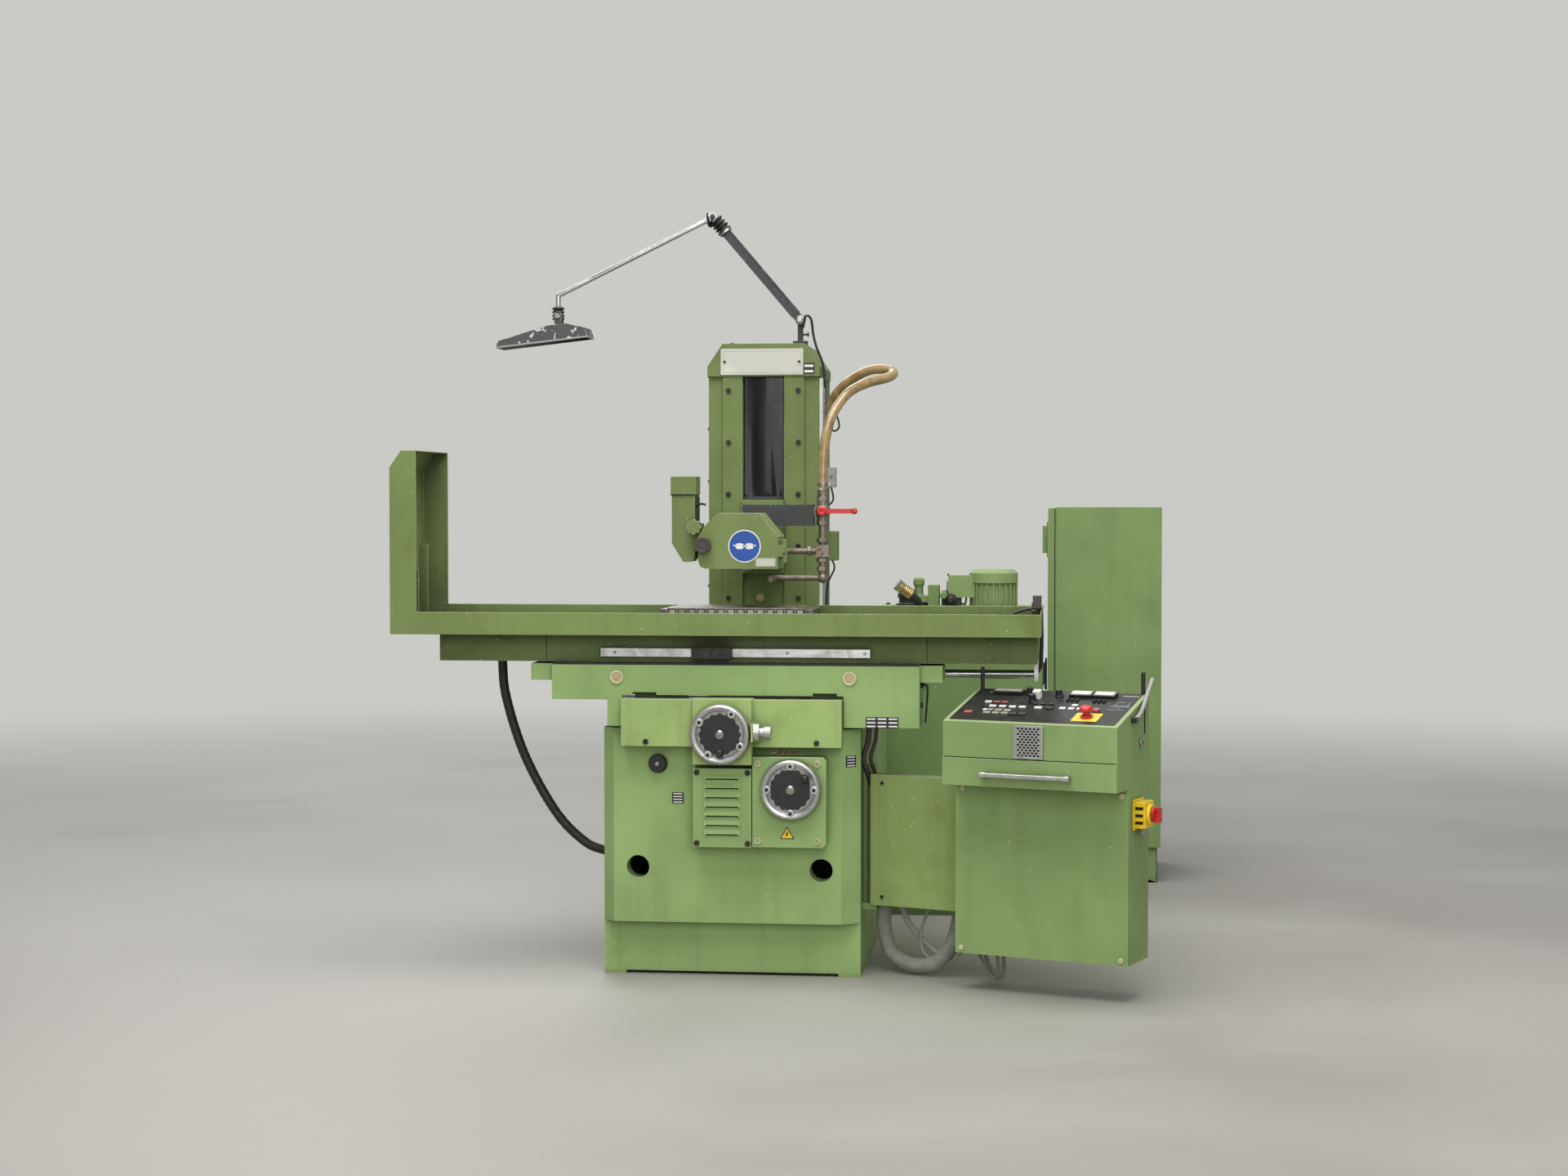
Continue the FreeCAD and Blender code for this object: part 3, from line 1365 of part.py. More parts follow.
def slanted(low, high, width, depth, gap, length=None):
    """A flat bar from one pivot towards another, a gap away from each unless its length is given."""
    run = math.hypot(size(high[0]) - size(low[0]), size(high[1]) - size(low[1]))
    angle = math.degrees(math.atan2(size(high[1]) - size(low[1]), size(high[0]) - size(low[0])))
    item = doc.addObject("Part::Box", "Slanted")
    item.setExpression("Length", link(length or f"{run - 2 * gap}"))
    item.setExpression("Width", link(depth))
    item.setExpression("Height", link(width))
    turn = Rotation(Vector(0, 1, 0), -angle)
    corner = turn.multVec(Vector(gap, -size(depth) / 2, -size(width) / 2))
    item.Placement = Placement(Vector(size(low[0]), size("lamp_y"), size(low[1])) + corner, turn)
    return item


def lamp_arm():
    """Lower arm: two cheeks on the post's pin, a channel, and the pin of the elbow."""
    low = lamp_joint("0", "0")
    high = lamp_joint("elbow_dx", "elbow_dz")
    ears, bore = cheeks(low[0], low[1], "10")
    channel = slanted(low, high, "arm_width", "arm_depth", 24)
    bridges = [slanted_bridge(low, high, side) for side in (-1, 1)]
    elbow = bar("Y", high, "12", ("lamp_y - 9", "lamp_y + 9"))
    neck = slanted(low, high, "18", "18", 4)
    core = carve(join(channel, neck), bar("Y", low, "24", ("lamp_y - 10.5", "lamp_y + 10.5")))
    pin = bar("Y", high, "hinge_pin", ("lamp_y - 20", "lamp_y + 20"))
    piece(join(carve(join(*ears, *bridges), bore), core, elbow, pin), "lamp_arm")


def slanted_bridge(low, high, side):
    """Side plate that ties a cheek to the channel of the arm."""
    item = slanted(low, high, "26", "8", 0, "arm_width * 2")
    item.Placement.Base = item.Placement.Base + Vector(0, side * (size("arm_depth") / 2 + 2), 0)
    return item


def lamp_tube():
    """Upper tube: cheeks on the elbow's pin, the long tube, its drop and the pin of the shade."""
    low = lamp_joint("elbow_dx", "elbow_dz")
    high = lamp_joint("elbow_dx + reach_dx", "elbow_dz + reach_dz")
    ears, bore = cheeks(low[0], low[1], "9")
    yoke = slanted(low, high, "16", "36", 13, "12")
    tube = tube_between(low, high, 16)
    bend = ball((high[0], "lamp_y", high[1]), "tube_radius")
    drop = bar("Z", (high[0], "lamp_y"), "tube_radius", (f"{high[1]} - lamp_drop + 6", high[1]))
    knee = bar("Y", (high[0], f"{high[1]} - lamp_drop"), "12", ("lamp_y - 10", "lamp_y + 10"))
    pin = bar("Y", (high[0], f"{high[1]} - lamp_drop"), "hinge_pin", ("lamp_y - 22", "lamp_y + 22"))
    piece(join(carve(join(*ears), bore), yoke, tube, bend, drop, knee, pin), "lamp_tube")


def tube_between(low, high, gap):
    """Round tube between two pivots in the lamp's plane."""
    start = Vector(size(low[0]), size("lamp_y"), size(low[1]))
    end = Vector(size(high[0]), size("lamp_y"), size(high[1]))
    direction = (end - start).normalize()
    item = doc.addObject("Part::Cylinder", "Tube")
    item.setExpression("Radius", link("tube_radius"))
    item.Height = (end - start).Length - gap
    item.Placement = Placement(start + direction * gap, Rotation(Vector(0, 0, 1), direction))
    return item


def lamp_head():
    """Trapezoid lamp shade, hollow below, hung a little tilted by two ears from the tube's pin."""
    x = lamp_joint("elbow_dx + reach_dx", "0")[0]
    z = "lamp_post_top + elbow_dz + reach_dz - lamp_drop"
    ears, bore = cheeks(x, z, "10")
    posts = []
    for side in (-1, 1):
        posts.append(block((f"{x} - 12", f"{x} + 12"),
                           (f"lamp_y + {side} * 15 - 4", f"lamp_y + {side} * 15 + 4"),
                           (f"{z} - 34", z)))
    shade = Casting()
    low = f"{z} - 30 - shade_height"
    left = f"{x} + shade_offset - shade_length / 2"
    right = f"{x} + shade_offset + shade_length / 2"
    shade.pad("XZ", ("lamp_y - shade_depth / 2", "lamp_y + shade_depth / 2"), [
        (left, low),
        (right, low),
        (f"{right} - 8", f"{low} + shade_height * 0.62"),
        (f"{x} + 30", f"{z} - 30"),
        (f"{x} - 30", f"{z} - 30"),
        (f"{left} + 6", f"{low} + shade_height * 0.42"),
    ])
    shade.pocket("XZ", ("lamp_y - shade_depth / 2 + sheet", "lamp_y + shade_depth / 2 - sheet"), [
        (f"{left} + 8", f"{low} - 1"),
        (f"{right} - 8", f"{low} - 1"),
        (f"{right} - 14", f"{low} + shade_height * 0.3"),
        (f"{left} + 14", f"{low} + shade_height * 0.25"),
    ])
    head = join(carve(join(*ears, *posts), bore), shade.body)
    pin = Vector(size(x), size("lamp_y"), size(z))
    head.Placement = Placement(Vector(), Rotation(Vector(0, 1, 0), size("shade_tilt")), pin)
    piece(head, "lamp_head")


# ---------------------------------------------------------------- console


def console_arm():
    """Swing arm: a cable box on a hinge barrel with a pin at each end."""
    barrel = bar("Z", ("0", "0"), "knuckle_radius", ("arm_low", "arm_top"))
    pins = bar("Z", ("0", "0"), "hinge_pin", ("arm_low - hinge_lug - 2", "arm_top + hinge_lug + 2"))
    leaf = block(("0", "arm_from + 1"), ("-14", "-4"), ("arm_low", "arm_top"))
    box = block(("arm_from", "arm_to"), ("arm_front", "-2"), ("arm_low", "arm_top"))
    hollow = block(("arm_from + sheet", "arm_to - sheet"), ("arm_front + sheet", "-2 - sheet"),
                   ("arm_low - 1", "arm_top - sheet"))
    piece(turn_with_arm(join(barrel, pins, leaf, carve(box, hollow))), "console_arm")


def console_cabinet():
    """Console: lower cabinet, drawer bay and the sloping desk above."""
    casting = Casting()
    sides = ("desk_left", "desk_right")
    casting.pad("YZ", sides, [
        ("desk_body_front", "desk_body_low"),
        ("desk_back", "desk_body_low"),
        ("desk_back", "desk_rear_top - 12"),
        ("desk_back - 9", "desk_rear_top"),
        ("desk_front", "desk_front_top"),
        ("desk_front", "desk_low"),
        ("desk_body_front", "desk_low"),
    ])
    casting.pocket("XY", ("desk_body_low", "desk_low - 10"),
                   rectangle(("desk_left + sheet", "desk_right - sheet"),
                             ("desk_body_front + sheet", "desk_back - sheet")))
    casting.pocket("XZ", ("desk_front", "drawer_back"),
                   rectangle(("desk_left + sheet", "desk_right - sheet"),
                             ("desk_low + sheet", "drawer_top + 2")))
    casting.pocket("YZ", ("desk_left + sheet", "desk_right - sheet"), [
        ("desk_front + sheet", "drawer_top + 2 + sheet"),
        ("desk_back - sheet - 2", "drawer_top + 2 + sheet"),
        ("desk_back - sheet - 2", "desk_rear_top - 16"),
        ("desk_front + sheet", "desk_front_top - 4"),
    ])
    casting.pocket("XZ", ("desk_front", "desk_front + 2 * sheet"),
                   rectangle(("vent_left", "vent_right"), ("vent_low", "vent_top")))
    casting.pocket("YZ", ("desk_right - sheet", "desk_right"),
                   circle=("switch_v", "switch_z", "knob_stem + pin_gap"))
    piece(turn_with_arm(casting.body), "console_cabinet")


def console_drawer():
    """Drawer under the desk: an open tray with a full-width front."""
    low = "desk_low + sheet + 1"
    tray = block(("desk_left + sheet + 1", "desk_right - sheet - 1"),
                 ("desk_front - 1", "drawer_back - 5"), (low, "drawer_top - 4"))
    inside = block(("desk_left + sheet + 1 + drawer_wall", "desk_right - sheet - 1 - drawer_wall"),
                   ("desk_front + drawer_wall", "drawer_back - 5 - drawer_wall"),
                   (f"{low} + 2", "drawer_top"))
    front = block(("desk_left", "desk_right"), ("desk_front - 4", "desk_front - 1"),
                  ("desk_low", "drawer_top"))
    piece(turn_with_arm(join(carve(tray, inside), front)), "console_drawer")


def on_panel(item, u, v, lift):
    """Stand a control on the sloping panel; the control is built round its own Z axis."""
    swing = Rotation(Vector(0, 0, 1), -size("console_angle"))
    tilt = Rotation(Vector(1, 0, 0), size("panel_tilt"))
    slope = math.tan(math.radians(size("panel_tilt")))
    rise = size("desk_front_top") + (size(v) - size("desk_front")) * slope
    local = Vector(size(u), size(v), rise) + tilt.multVec(Vector(0, 0, lift))
    origin = Vector(size("console_x"), size("console_y"), 0)
    item.Placement = Placement(origin + swing.multVec(local), swing.multiply(tilt))
    return item


def emergency_stop():
    """Mushroom push button."""
    casting = Casting()
    casting.spin([
        ("0", "0"),
        ("stop_radius * 0.5", "0"),
        ("stop_radius * 0.5", "12"),
        ("stop_radius * 0.85", "14"),
        ("stop_radius", "19"),
        ("stop_radius * 0.85", "25"),
        ("stop_radius * 0.5", "28"),
        ("0", "29"),
    ])
    piece(on_panel(casting.body, "stop_u", "stop_v", 8), "emergency_stop")


def feed_rate_knob():
    """Rotary knob of the table speed."""
    casting = Casting()
    casting.spin([
        ("0", "0"),
        ("rate_radius", "0"),
        ("rate_radius", "5"),
        ("rate_radius * 0.8", "8"),
        ("rate_radius * 0.75", "22"),
        ("rate_radius * 0.65", "24"),
        ("0", "24"),
    ])
    piece(on_panel(casting.body, "rate_u", "rate_v", 2), "feed_rate_knob")


def main_switch_knob():
    """Handle of the main switch, on the console's right side."""
    across = ("switch_v", "switch_z")
    disc = bar("X", across, "switch_radius", ("desk_right + switch_reach", "desk_right + switch_reach + 8"))
    grip = block(("desk_right + switch_reach + 8", "desk_right + switch_reach + 24"),
                 ("switch_v - 7", "switch_v + 7"),
                 ("switch_z - switch_radius", "switch_z + switch_radius"))
    stem = bar("X", across, "knob_stem", ("desk_right - 12", "desk_right + switch_reach"))
    piece(turn_with_arm(join(disc, grip, stem)), "main_switch_knob")


# ---------------------------------------------------------------- units behind the machine


def hydraulic_tank():
    """Oil tank of the hydraulic unit, on a recessed foot."""
    tank = block(("tank_left", "tank_right"), ("tank_front", "tank_back"), ("tank_foot", "tank_top"))
    foot = carve(block(("tank_left + 30", "tank_right - 30"), ("tank_front + 30", "tank_back - 30"),
                       ("0", "tank_foot")),
                 block(("tank_left + 40", "tank_right - 40"), ("tank_front + 40", "tank_back - 40"),
                       ("-1", "tank_foot")))
    void = block(("tank_left + 6", "tank_right - 6"), ("tank_front + 6", "tank_back - 6"),
                 ("tank_foot + 6", "tank_top - 8"))
    lid_port = bar("Z", ("pump_motor_x", "pump_motor_y"), "30", ("tank_top - 10", "tank_top + 1"))
    piece(carve(join(tank, foot), void, lid_port), "hydraulic_tank")


def hydraulic_motor():
    """Upright finned pump motor with its fan cowl and terminal box."""
    at = ("pump_motor_x", "pump_motor_y")
    parts = [
        bar("Z", at, "pump_motor_radius - 8", ("tank_top", "pump_motor_top - 10")),
        bar("Z", at, "pump_motor_radius", ("pump_motor_top - 45", "pump_motor_top - 12")),
        taper("Z", at, ("pump_motor_radius", "pump_motor_radius - 14"),
              ("pump_motor_top - 12", "pump_motor_top")),
        bar("Z", at, "pump_motor_radius + 6", ("tank_top", "tank_top + 10")),
        block(("pump_motor_x - pump_motor_radius - 70", "pump_motor_x - pump_motor_radius + 20"),
              ("pump_motor_y - 45", "pump_motor_y + 45"), ("tank_top + 40", "pump_motor_top - 20")),
    ]
    fins = 24
    for number in range(fins):
        angle = 360 * number / fins
        fin = doc.addObject("Part::Box", "Fin")
        fin.Placement = Placement(Vector(), Rotation(Vector(0, 0, 1), angle))
        bind(fin, Length="pump_motor_radius - 1", Width="3", Height="pump_motor_top - 45 - tank_top - 10")
        bind(fin, base_x="pump_motor_x", base_y="pump_motor_y", base_z="tank_top + 10")
        parts.append(fin)
    shank = bar("Z", at, "24", ("tank_top - 60", "tank_top"))
    piece(join(*parts, shank), "hydraulic_motor")


def cabinet_shell():
    """Electric cabinet, open to the left where its door closes it, on a darker plinth."""
    shell = block(("cabinet_left", "cabinet_right"), ("cabinet_front", "cabinet_back"),
                  ("cabinet_plinth", "cabinet_top"))
    inside = block(("cabinet_left - 1", "cabinet_right - sheet"),
                   ("cabinet_front + 2 * sheet", "cabinet_back - 2 * sheet"),
                   ("cabinet_plinth + 2 * sheet", "cabinet_top - 2 * sheet"))
    plinth = carve(block(("cabinet_left + 15", "cabinet_right - 15"),
                         ("cabinet_front + 12", "cabinet_back - 12"),
                         ("0", "cabinet_plinth")),
                   block(("cabinet_left + 25", "cabinet_right - 25"),
                         ("cabinet_front + 22", "cabinet_back - 22"),
                         ("-1", "cabinet_plinth - 6")))
    rod = bar("Z", ("cabinet_left - door_depth / 2 - 1", "door_pin_y"), "5",
              ("cabinet_plinth + 8", "cabinet_top - 8"))
    tabs = []
    for z in ("cabinet_plinth + 8", "cabinet_top - 28"):
        tabs.append(block(("cabinet_left - door_depth / 2 - 1", "cabinet_left"),
                          ("door_pin_y - 7", "door_pin_y + 7"), (z, f"{z} + 20")))
    piece(join(carve(shell, inside), plinth, rod, *tabs), "cabinet_shell")


def cabinet_door():
    """Cabinet door with its turn handle; it is notched round the hinge rod."""
    leaf = block(("cabinet_left - door_depth", "cabinet_left - 1"), ("cabinet_front", "door_pin_y + 4"),
                 ("cabinet_plinth + 4", "cabinet_top - 4"))
    axis = ("cabinet_left - door_depth / 2 - 1", "door_pin_y")
    rod = bar("Z", axis, "5 + pin_gap", ("cabinet_plinth", "cabinet_top"))
    notches = []
    for z in ("cabinet_plinth + 4", "cabinet_top - 32"):
        notches.append(block(("cabinet_left - door_depth - 1", "cabinet_left"),
                             ("door_pin_y - 22", "cabinet_back + 1"),
                             (z, f"{z} + 28")))
    relief = block(("cabinet_left - door_depth / 2", "cabinet_left"),
                   ("door_pin_y - 2", "cabinet_back + 1"),
                   ("cabinet_plinth", "cabinet_top"))
    handle_plate = block(("cabinet_left - door_depth - 4", "cabinet_left - door_depth"),
                         ("cabinet_front + 30", "cabinet_front + 64"),
                         ("handle_low - 15", "handle_top + 15"))
    lever = block(("cabinet_left - door_depth - 20", "cabinet_left - door_depth - 4"),
                  ("cabinet_front + 38", "cabinet_front + 56"), ("handle_low", "handle_top"))
    piece(join(carve(leaf, rod, relief, *notches), handle_plate, lever), "cabinet_door")


# ---------------------------------------------------------------- build, check and write

BUILDERS = (
    base_casting, control_cover, louvre_cover, feed_housing, socket_screws, handwheels, cranks, feed_shafts,
    plunger_knob, selector_knob, saddle_casting, way_guards, cross_nut, table_cylinder, piston_rod,
    table_casting, splash_tray, magnetic_chuck, dog_rail, dogs, drain_hose, column_casting,
    way_cover_strips, column_cap, column_bellows, elevating_screw, head_slide, spindle_housing,
    spindle_bearings, spindle_shaft, wheel_flange, grinding_wheel, spindle_motor, wheel_guard, guard_door,
    guard_knob, extraction_duct, star_knob, valve_carrier, coolant_valve, valve_lever, coolant_hose,
    lamp_post, lamp_arm, lamp_tube, lamp_head, console_arm, console_cabinet, console_drawer,
    emergency_stop, feed_rate_knob, main_switch_knob, hydraulic_tank, hydraulic_motor, cabinet_shell,
    cabinet_door,
)

for build in BUILDERS:
    build()
doc.recompute()

for item in doc.Objects:
    if {"Invalid", "Error"} & set(item.State):
        raise RuntimeError(f"{item.Label} failed to recompute: {item.State}")
for item in PARTS:
    if item.Shape.isNull() or not item.Shape.isValid() or not item.Shape.Solids:
        raise RuntimeError(f"{item.Label} has no valid solid")

os.makedirs("parts", exist_ok=True)
for item in PARTS:
    item.Shape.exportStep(f"parts/{item.Label}.step")
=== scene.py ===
import json
import math

import bmesh
import bpy
from mathutils import Matrix, Vector


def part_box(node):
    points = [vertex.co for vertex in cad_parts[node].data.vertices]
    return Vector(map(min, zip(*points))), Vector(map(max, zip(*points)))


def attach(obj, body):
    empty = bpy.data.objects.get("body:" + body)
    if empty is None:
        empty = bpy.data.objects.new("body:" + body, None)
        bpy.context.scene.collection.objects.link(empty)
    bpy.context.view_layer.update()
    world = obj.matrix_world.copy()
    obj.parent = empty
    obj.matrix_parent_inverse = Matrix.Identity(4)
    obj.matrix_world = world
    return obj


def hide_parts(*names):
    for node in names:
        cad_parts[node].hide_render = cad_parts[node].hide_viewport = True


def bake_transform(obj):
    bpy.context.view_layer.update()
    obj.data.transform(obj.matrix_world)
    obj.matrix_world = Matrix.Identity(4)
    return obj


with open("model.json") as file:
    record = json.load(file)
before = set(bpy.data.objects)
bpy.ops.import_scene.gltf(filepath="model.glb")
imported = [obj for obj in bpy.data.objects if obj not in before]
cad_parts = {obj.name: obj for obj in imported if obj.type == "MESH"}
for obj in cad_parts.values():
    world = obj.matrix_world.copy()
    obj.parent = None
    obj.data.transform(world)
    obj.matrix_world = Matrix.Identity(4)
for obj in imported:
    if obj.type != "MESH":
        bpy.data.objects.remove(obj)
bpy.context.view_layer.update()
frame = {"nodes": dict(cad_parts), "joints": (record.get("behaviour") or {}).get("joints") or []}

# The looks of a hydraulic surface grinder around its CAD frame. Lengths are millimetres in every
# function until piece() turns them into metres. +X is the operator's right, +Y the back, +Z up.

METRE = 0.001
JOINTS = {joint["name"]: joint for joint in frame["joints"]}


class Box:
    """A CAD node's box at rest, in millimetres."""

    def __init__(self, node):
        low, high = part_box(node)
        self.left, self.front, self.low = (value / METRE for value in low)
        self.right, self.back, self.top = (value / METRE for value in high)
        self.x = (self.left + self.right) / 2
        self.y = (self.front + self.back) / 2
        self.z = (self.low + self.top) / 2


BOX = {node: Box(node) for node in frame["nodes"]}


def pivot(joint):
    """A point on a hinge's axis, in millimetres."""
    return Vector(JOINTS[joint]["pos_m"]) / METRE


# ---------------------------------------------------------------- materials


def colour(red, green, blue):
    """A screen colour, 0 to 255 a channel, as the linear values a shader takes."""
    def linear(value):
        share = value / 255
        return share / 12.92 if share <= 0.04045 else ((share + 0.055) / 1.055) ** 2.4
    return (linear(red), linear(green), linear(blue), 1.0)


def dimmed(tone, factor):
    """The same colour, lighter or darker."""
    return tuple(min(1.0, value * factor) for value in tone[:3]) + (1.0,)


OIL = colour(92, 84, 48)
# Dark olive laid into corners and under ledges by ambient occlusion: painted shade, with some
# grime.
GRIME_AND_SHADE = colour(38, 40, 26)
DUST = colour(168, 164, 146)
PRIMER = colour(190, 205, 158)
RUST = colour(96, 62, 42)
STEEL = colour(158, 156, 150)


class Paint:
    """A material made of shader nodes. Its patterns sit in the piece's own space."""

    def __init__(self, name):
        self.material = bpy.data.materials.new(name)
        self.material.use_nodes = True
        self.tree = self.material.node_tree
        self.tree.nodes.clear()
        self.place = self.node("TexCoord").outputs["Object"]

    def node(self, kind, inputs=None, **settings):
        made = self.tree.nodes.new("ShaderNode" + kind)
        for key, value in settings.items():
            setattr(made, key, value)
        for key, value in (inputs or {}).items():
            if isinstance(value, bpy.types.NodeSocket):
                self.tree.links.new(value, made.inputs[key])
            else:
                made.inputs[key].default_value = value
        return made

    def maths(self, operation, *values):
        return self.node("Math", dict(enumerate(values)), operation=operation).outputs[0]

    def part(self, mask, factor):
        """A mask made weaker or stronger."""
        return self.maths("MULTIPLY", mask, factor)

    def noise(self, size, detail=3.0, stretch=(1, 1, 1), warp=0.0):
        """Clouds between 0 and 1 whose features are about size millimetres wide."""
        scaled = self.node("Mapping", {"Vector": self.place, "Scale": stretch}).outputs[0]
        inputs = {"Vector": scaled, "Scale": 1 / (size * METRE), "Detail": detail,
                  "Distortion": warp}
        return self.node("TexNoise", inputs).outputs[0]

    def band(self, value, low, high, top=1.0):
        """0 up to low, top from high on, smooth between."""
        inputs = {"Value": value, "From Min": low, "From Max": high, "To Max": top}
        return self.node("MapRange", inputs, interpolation_type="SMOOTHSTEP").outputs[0]

    def coat(self, under, *layers):
        """Lays (mask, colour) layers over a shade."""
        for share, over in layers:
            under = self.node("Mix", {0: share, 6: under, 7: over}, data_type="RGBA").outputs[2]
        return under

    def edges(self, width):
        """1 along sharp edges, 0 on flats and on round faces."""
        soft = self.node("Bevel", {"Radius": width * METRE}, samples=6).outputs[0]
        hard = self.node("NewGeometry").outputs["Normal"]
        aligned = self.node("VectorMath", {0: soft, 1: hard}, operation="DOT_PRODUCT")
        return self.band(aligned.outputs["Value"], 0.994, 0.93)

    def shaded_hollows(self, reach):
        """1 in corners and under ledges that are within reach of another surface, where the paints
        lay painted shade.
        """
        shade = self.node("AmbientOcclusion", {"Distance": reach * METRE}, samples=4)
        return self.band(shade.outputs["AO"], 0.85, 0.35)

    def ledges(self):
        """1 on faces that look up, where dust settles."""
        normal = self.node("NewGeometry").outputs["Normal"]
        return self.band(self.node("SeparateXYZ", {0: normal}).outputs["Z"], 0.6, 0.95)

    def finish(self, tone, rough, height, depth, **more):
        inputs = {"Base Color": tone, "Roughness": rough}
        inputs.update({key.replace("_", " "): value for key, value in more.items()})
        bump = {"Height": height, "Distance": depth * METRE}
        inputs["Normal"] = self.node("Bump", bump).outputs[0]
        shader = self.node("BsdfPrincipled", inputs)
        self.node("OutputMaterial", {"Surface": shader.outputs[0]})
        return self.material


def enamel(name, tone, age=0.5, chips=0.8, flake=7.0, bare=0.0, under=PRIMER, rough=0.36,
           reach=40, soot=0.5):
    """Machine enamel: cloudy fading, run marks, painted shade and grime in corners, dust on ledges,
    edges lighter from wear and a painted highlight, chips.
    """
    paint = Paint(name)
    edge = paint.edges(3.6)
    runs = paint.noise(48, 4, stretch=(1, 1, 0.09))
    smudge = paint.noise(130, 5, warp=0.4)
    wear = paint.maths("MULTIPLY_ADD", edge, 0.22 * chips, paint.noise(flake, 4, warp=0.7))
    chip = paint.band(wear, 0.715 - bare, 0.725 - bare)
    core = paint.band(wear, 0.775 - bare, 0.785 - bare)
    shade = paint.coat(
        dimmed(tone, 0.91),
        (paint.band(paint.noise(330, 2), 0.35, 0.65), dimmed(tone, 1.08)),
        (paint.band(runs, 0.48, 0.78, 0.42 * age), OIL),
        (paint.band(smudge, 0.55, 0.72, 0.28 * age), dimmed(OIL, 0.8)),
        (paint.part(paint.ledges(), 0.2 + 0.25 * age), DUST),
        # Darker in corners and under ledges: painted shade, with some grime.
        (paint.part(paint.shaded_hollows(reach), soot), GRIME_AND_SHADE),
        # Lighter along every sharp edge: partly rubbed paint, partly a painted highlight.
        (paint.part(edge, 0.4), dimmed(tone, 1.45)),
        (chip, under),
        (paint.part(core, 0.6), RUST),
    )
    gloss = paint.maths("MULTIPLY_ADD", chip, 0.3, 0.5)
    gloss = paint.maths("ADD", gloss, paint.band(smudge, 0.35, 0.7, 0.22))
    gloss = paint.maths("ADD", gloss, rough - 0.08)
    peel = paint.maths("MULTIPLY_ADD", paint.noise(3.2, 2), 0.22, paint.part(chip, -0.7))
    return paint.finish(shade, gloss, peel, 0.22)


def metal(name, tone, rough=0.3, grain=(1, 1, 1), tarnish=0.35, rust=0.0, metallic=1.0,
          depth=0.015):
    """Bare metal: fine machining marks, cloudy tarnish, bright edges, rust in patches."""
    paint = Paint(name)
    lines = paint.noise(5, 5, stretch=grain)
    stain = paint.noise(55, 5, warp=0.6)
    patches = paint.noise(22, 6, warp=1.0)
    shade = paint.coat(
        dimmed(tone, 0.84),
        (paint.band(lines, 0.3, 0.7), dimmed(tone, 1.08)),
        (paint.band(stain, 0.45, 0.72, tarnish), dimmed(OIL, 1.3)),
        # Darker in corners and under ledges: painted shade, with some grime.
        (paint.part(paint.shaded_hollows(10), 0.6), GRIME_AND_SHADE),
        (paint.part(paint.edges(1.2), 0.35), dimmed(tone, 1.3)),
        (paint.band(patches, 0.7 - 0.35 * rust, 0.82 - 0.3 * rust, min(1, 4 * rust)), RUST),
    )
    gloss = paint.maths("ADD", paint.band(stain, 0.35, 0.75, 0.25), rough)
    return paint.finish(shade, gloss, lines, depth, Metallic=metallic)


def plastic(name, tone, rough=0.4, dust=0.25, depth=0.06, cloud=28, **more):
    """Moulded plastic, print or rubber: fine grain, rubbed edges, dust and handling marks."""
    paint = Paint(name)
    smear = paint.noise(cloud, 5, warp=0.8)
    speck = paint.noise(0.8, 3)
    shade = paint.coat(
        dimmed(tone, 0.88),
        (paint.band(smear, 0.35, 0.7), dimmed(tone, 1.06)),
        (paint.part(paint.ledges(), dust), DUST),
        (paint.band(speck, 0.62, 0.74, dust), dimmed(DUST, 0.8)),
        (paint.part(paint.edges(1.0), 0.25), dimmed(tone, 1.6)),
        # Darker in corners and under ledges: painted shade, with some grime.
        (paint.part(paint.shaded_hollows(8), 0.4), GRIME_AND_SHADE),
    )
    gloss = paint.maths("ADD", paint.band(smear, 0.3, 0.75, 0.22), rough - 0.06)
    return paint.finish(shade, gloss, speck, depth, **more)


def chuck_steel(name):
    """Brown film over ground steel, with the pole plate's bright and dark laminations."""
    paint = Paint(name)
    across = paint.node("SeparateXYZ", {0: paint.place}).outputs["X"]
    wave = paint.maths("FRACT", paint.maths("MULTIPLY", across, 1 / (CHUCK_PITCH * METRE)), 0.0)
    poles = paint.maths("MULTIPLY", paint.band(wave, 0.78, 0.8), paint.ledges())
    film = paint.noise(60, 5, warp=0.6)
    shade = paint.coat(
        colour(84, 76, 68),
        (paint.band(film, 0.35, 0.7), colour(140, 134, 124)),
        (poles, colour(150, 132, 96)),
        (paint.part(paint.edges(2.5), 0.6), STEEL),
        (paint.band(paint.noise(14, 5, warp=1.2), 0.58, 0.7, 0.75), RUST),
    )
    gloss = paint.maths("ADD", paint.band(film, 0.3, 0.7, 0.3), 0.3)
    return paint.finish(shade, gloss, paint.noise(4, 3), 0.08, Metallic=0.55)


def abrasive(name):
    """A vitrified wheel: coarse light grains with dark pores."""
    paint = Paint(name)
    inputs = {"Vector": paint.place, "Scale": 1 / (1.4 * METRE)}
    grain = paint.node("TexVoronoi", inputs).outputs["Distance"]
    shade = paint.coat(colour(206, 204, 198), (paint.band(grain, 0.1, 0.7), colour(118, 116, 112)))
    return paint.finish(shade, 0.9, grain, 0.5)


def amber_hose(name):
    """Old clear hose: tan wall, darker liquor stain inside, a greasy shine."""
    paint = Paint(name)
    stain = paint.noise(50, 4, warp=0.5)
    ply = paint.noise(6, 2)
    shade = paint.coat(
        colour(152, 130, 86),
        (paint.band(stain, 0.35, 0.65), colour(122, 98, 58)),
        (paint.band(ply, 0.5, 0.7, 0.25), colour(122, 92, 50)),
    )
    return paint.finish(shade, paint.band(stain, 0.2, 0.8, 0.5), ply, 0.03,
                        Coat_Weight=0.5, Coat_Roughness=0.2, Subsurface_Weight=0.15)


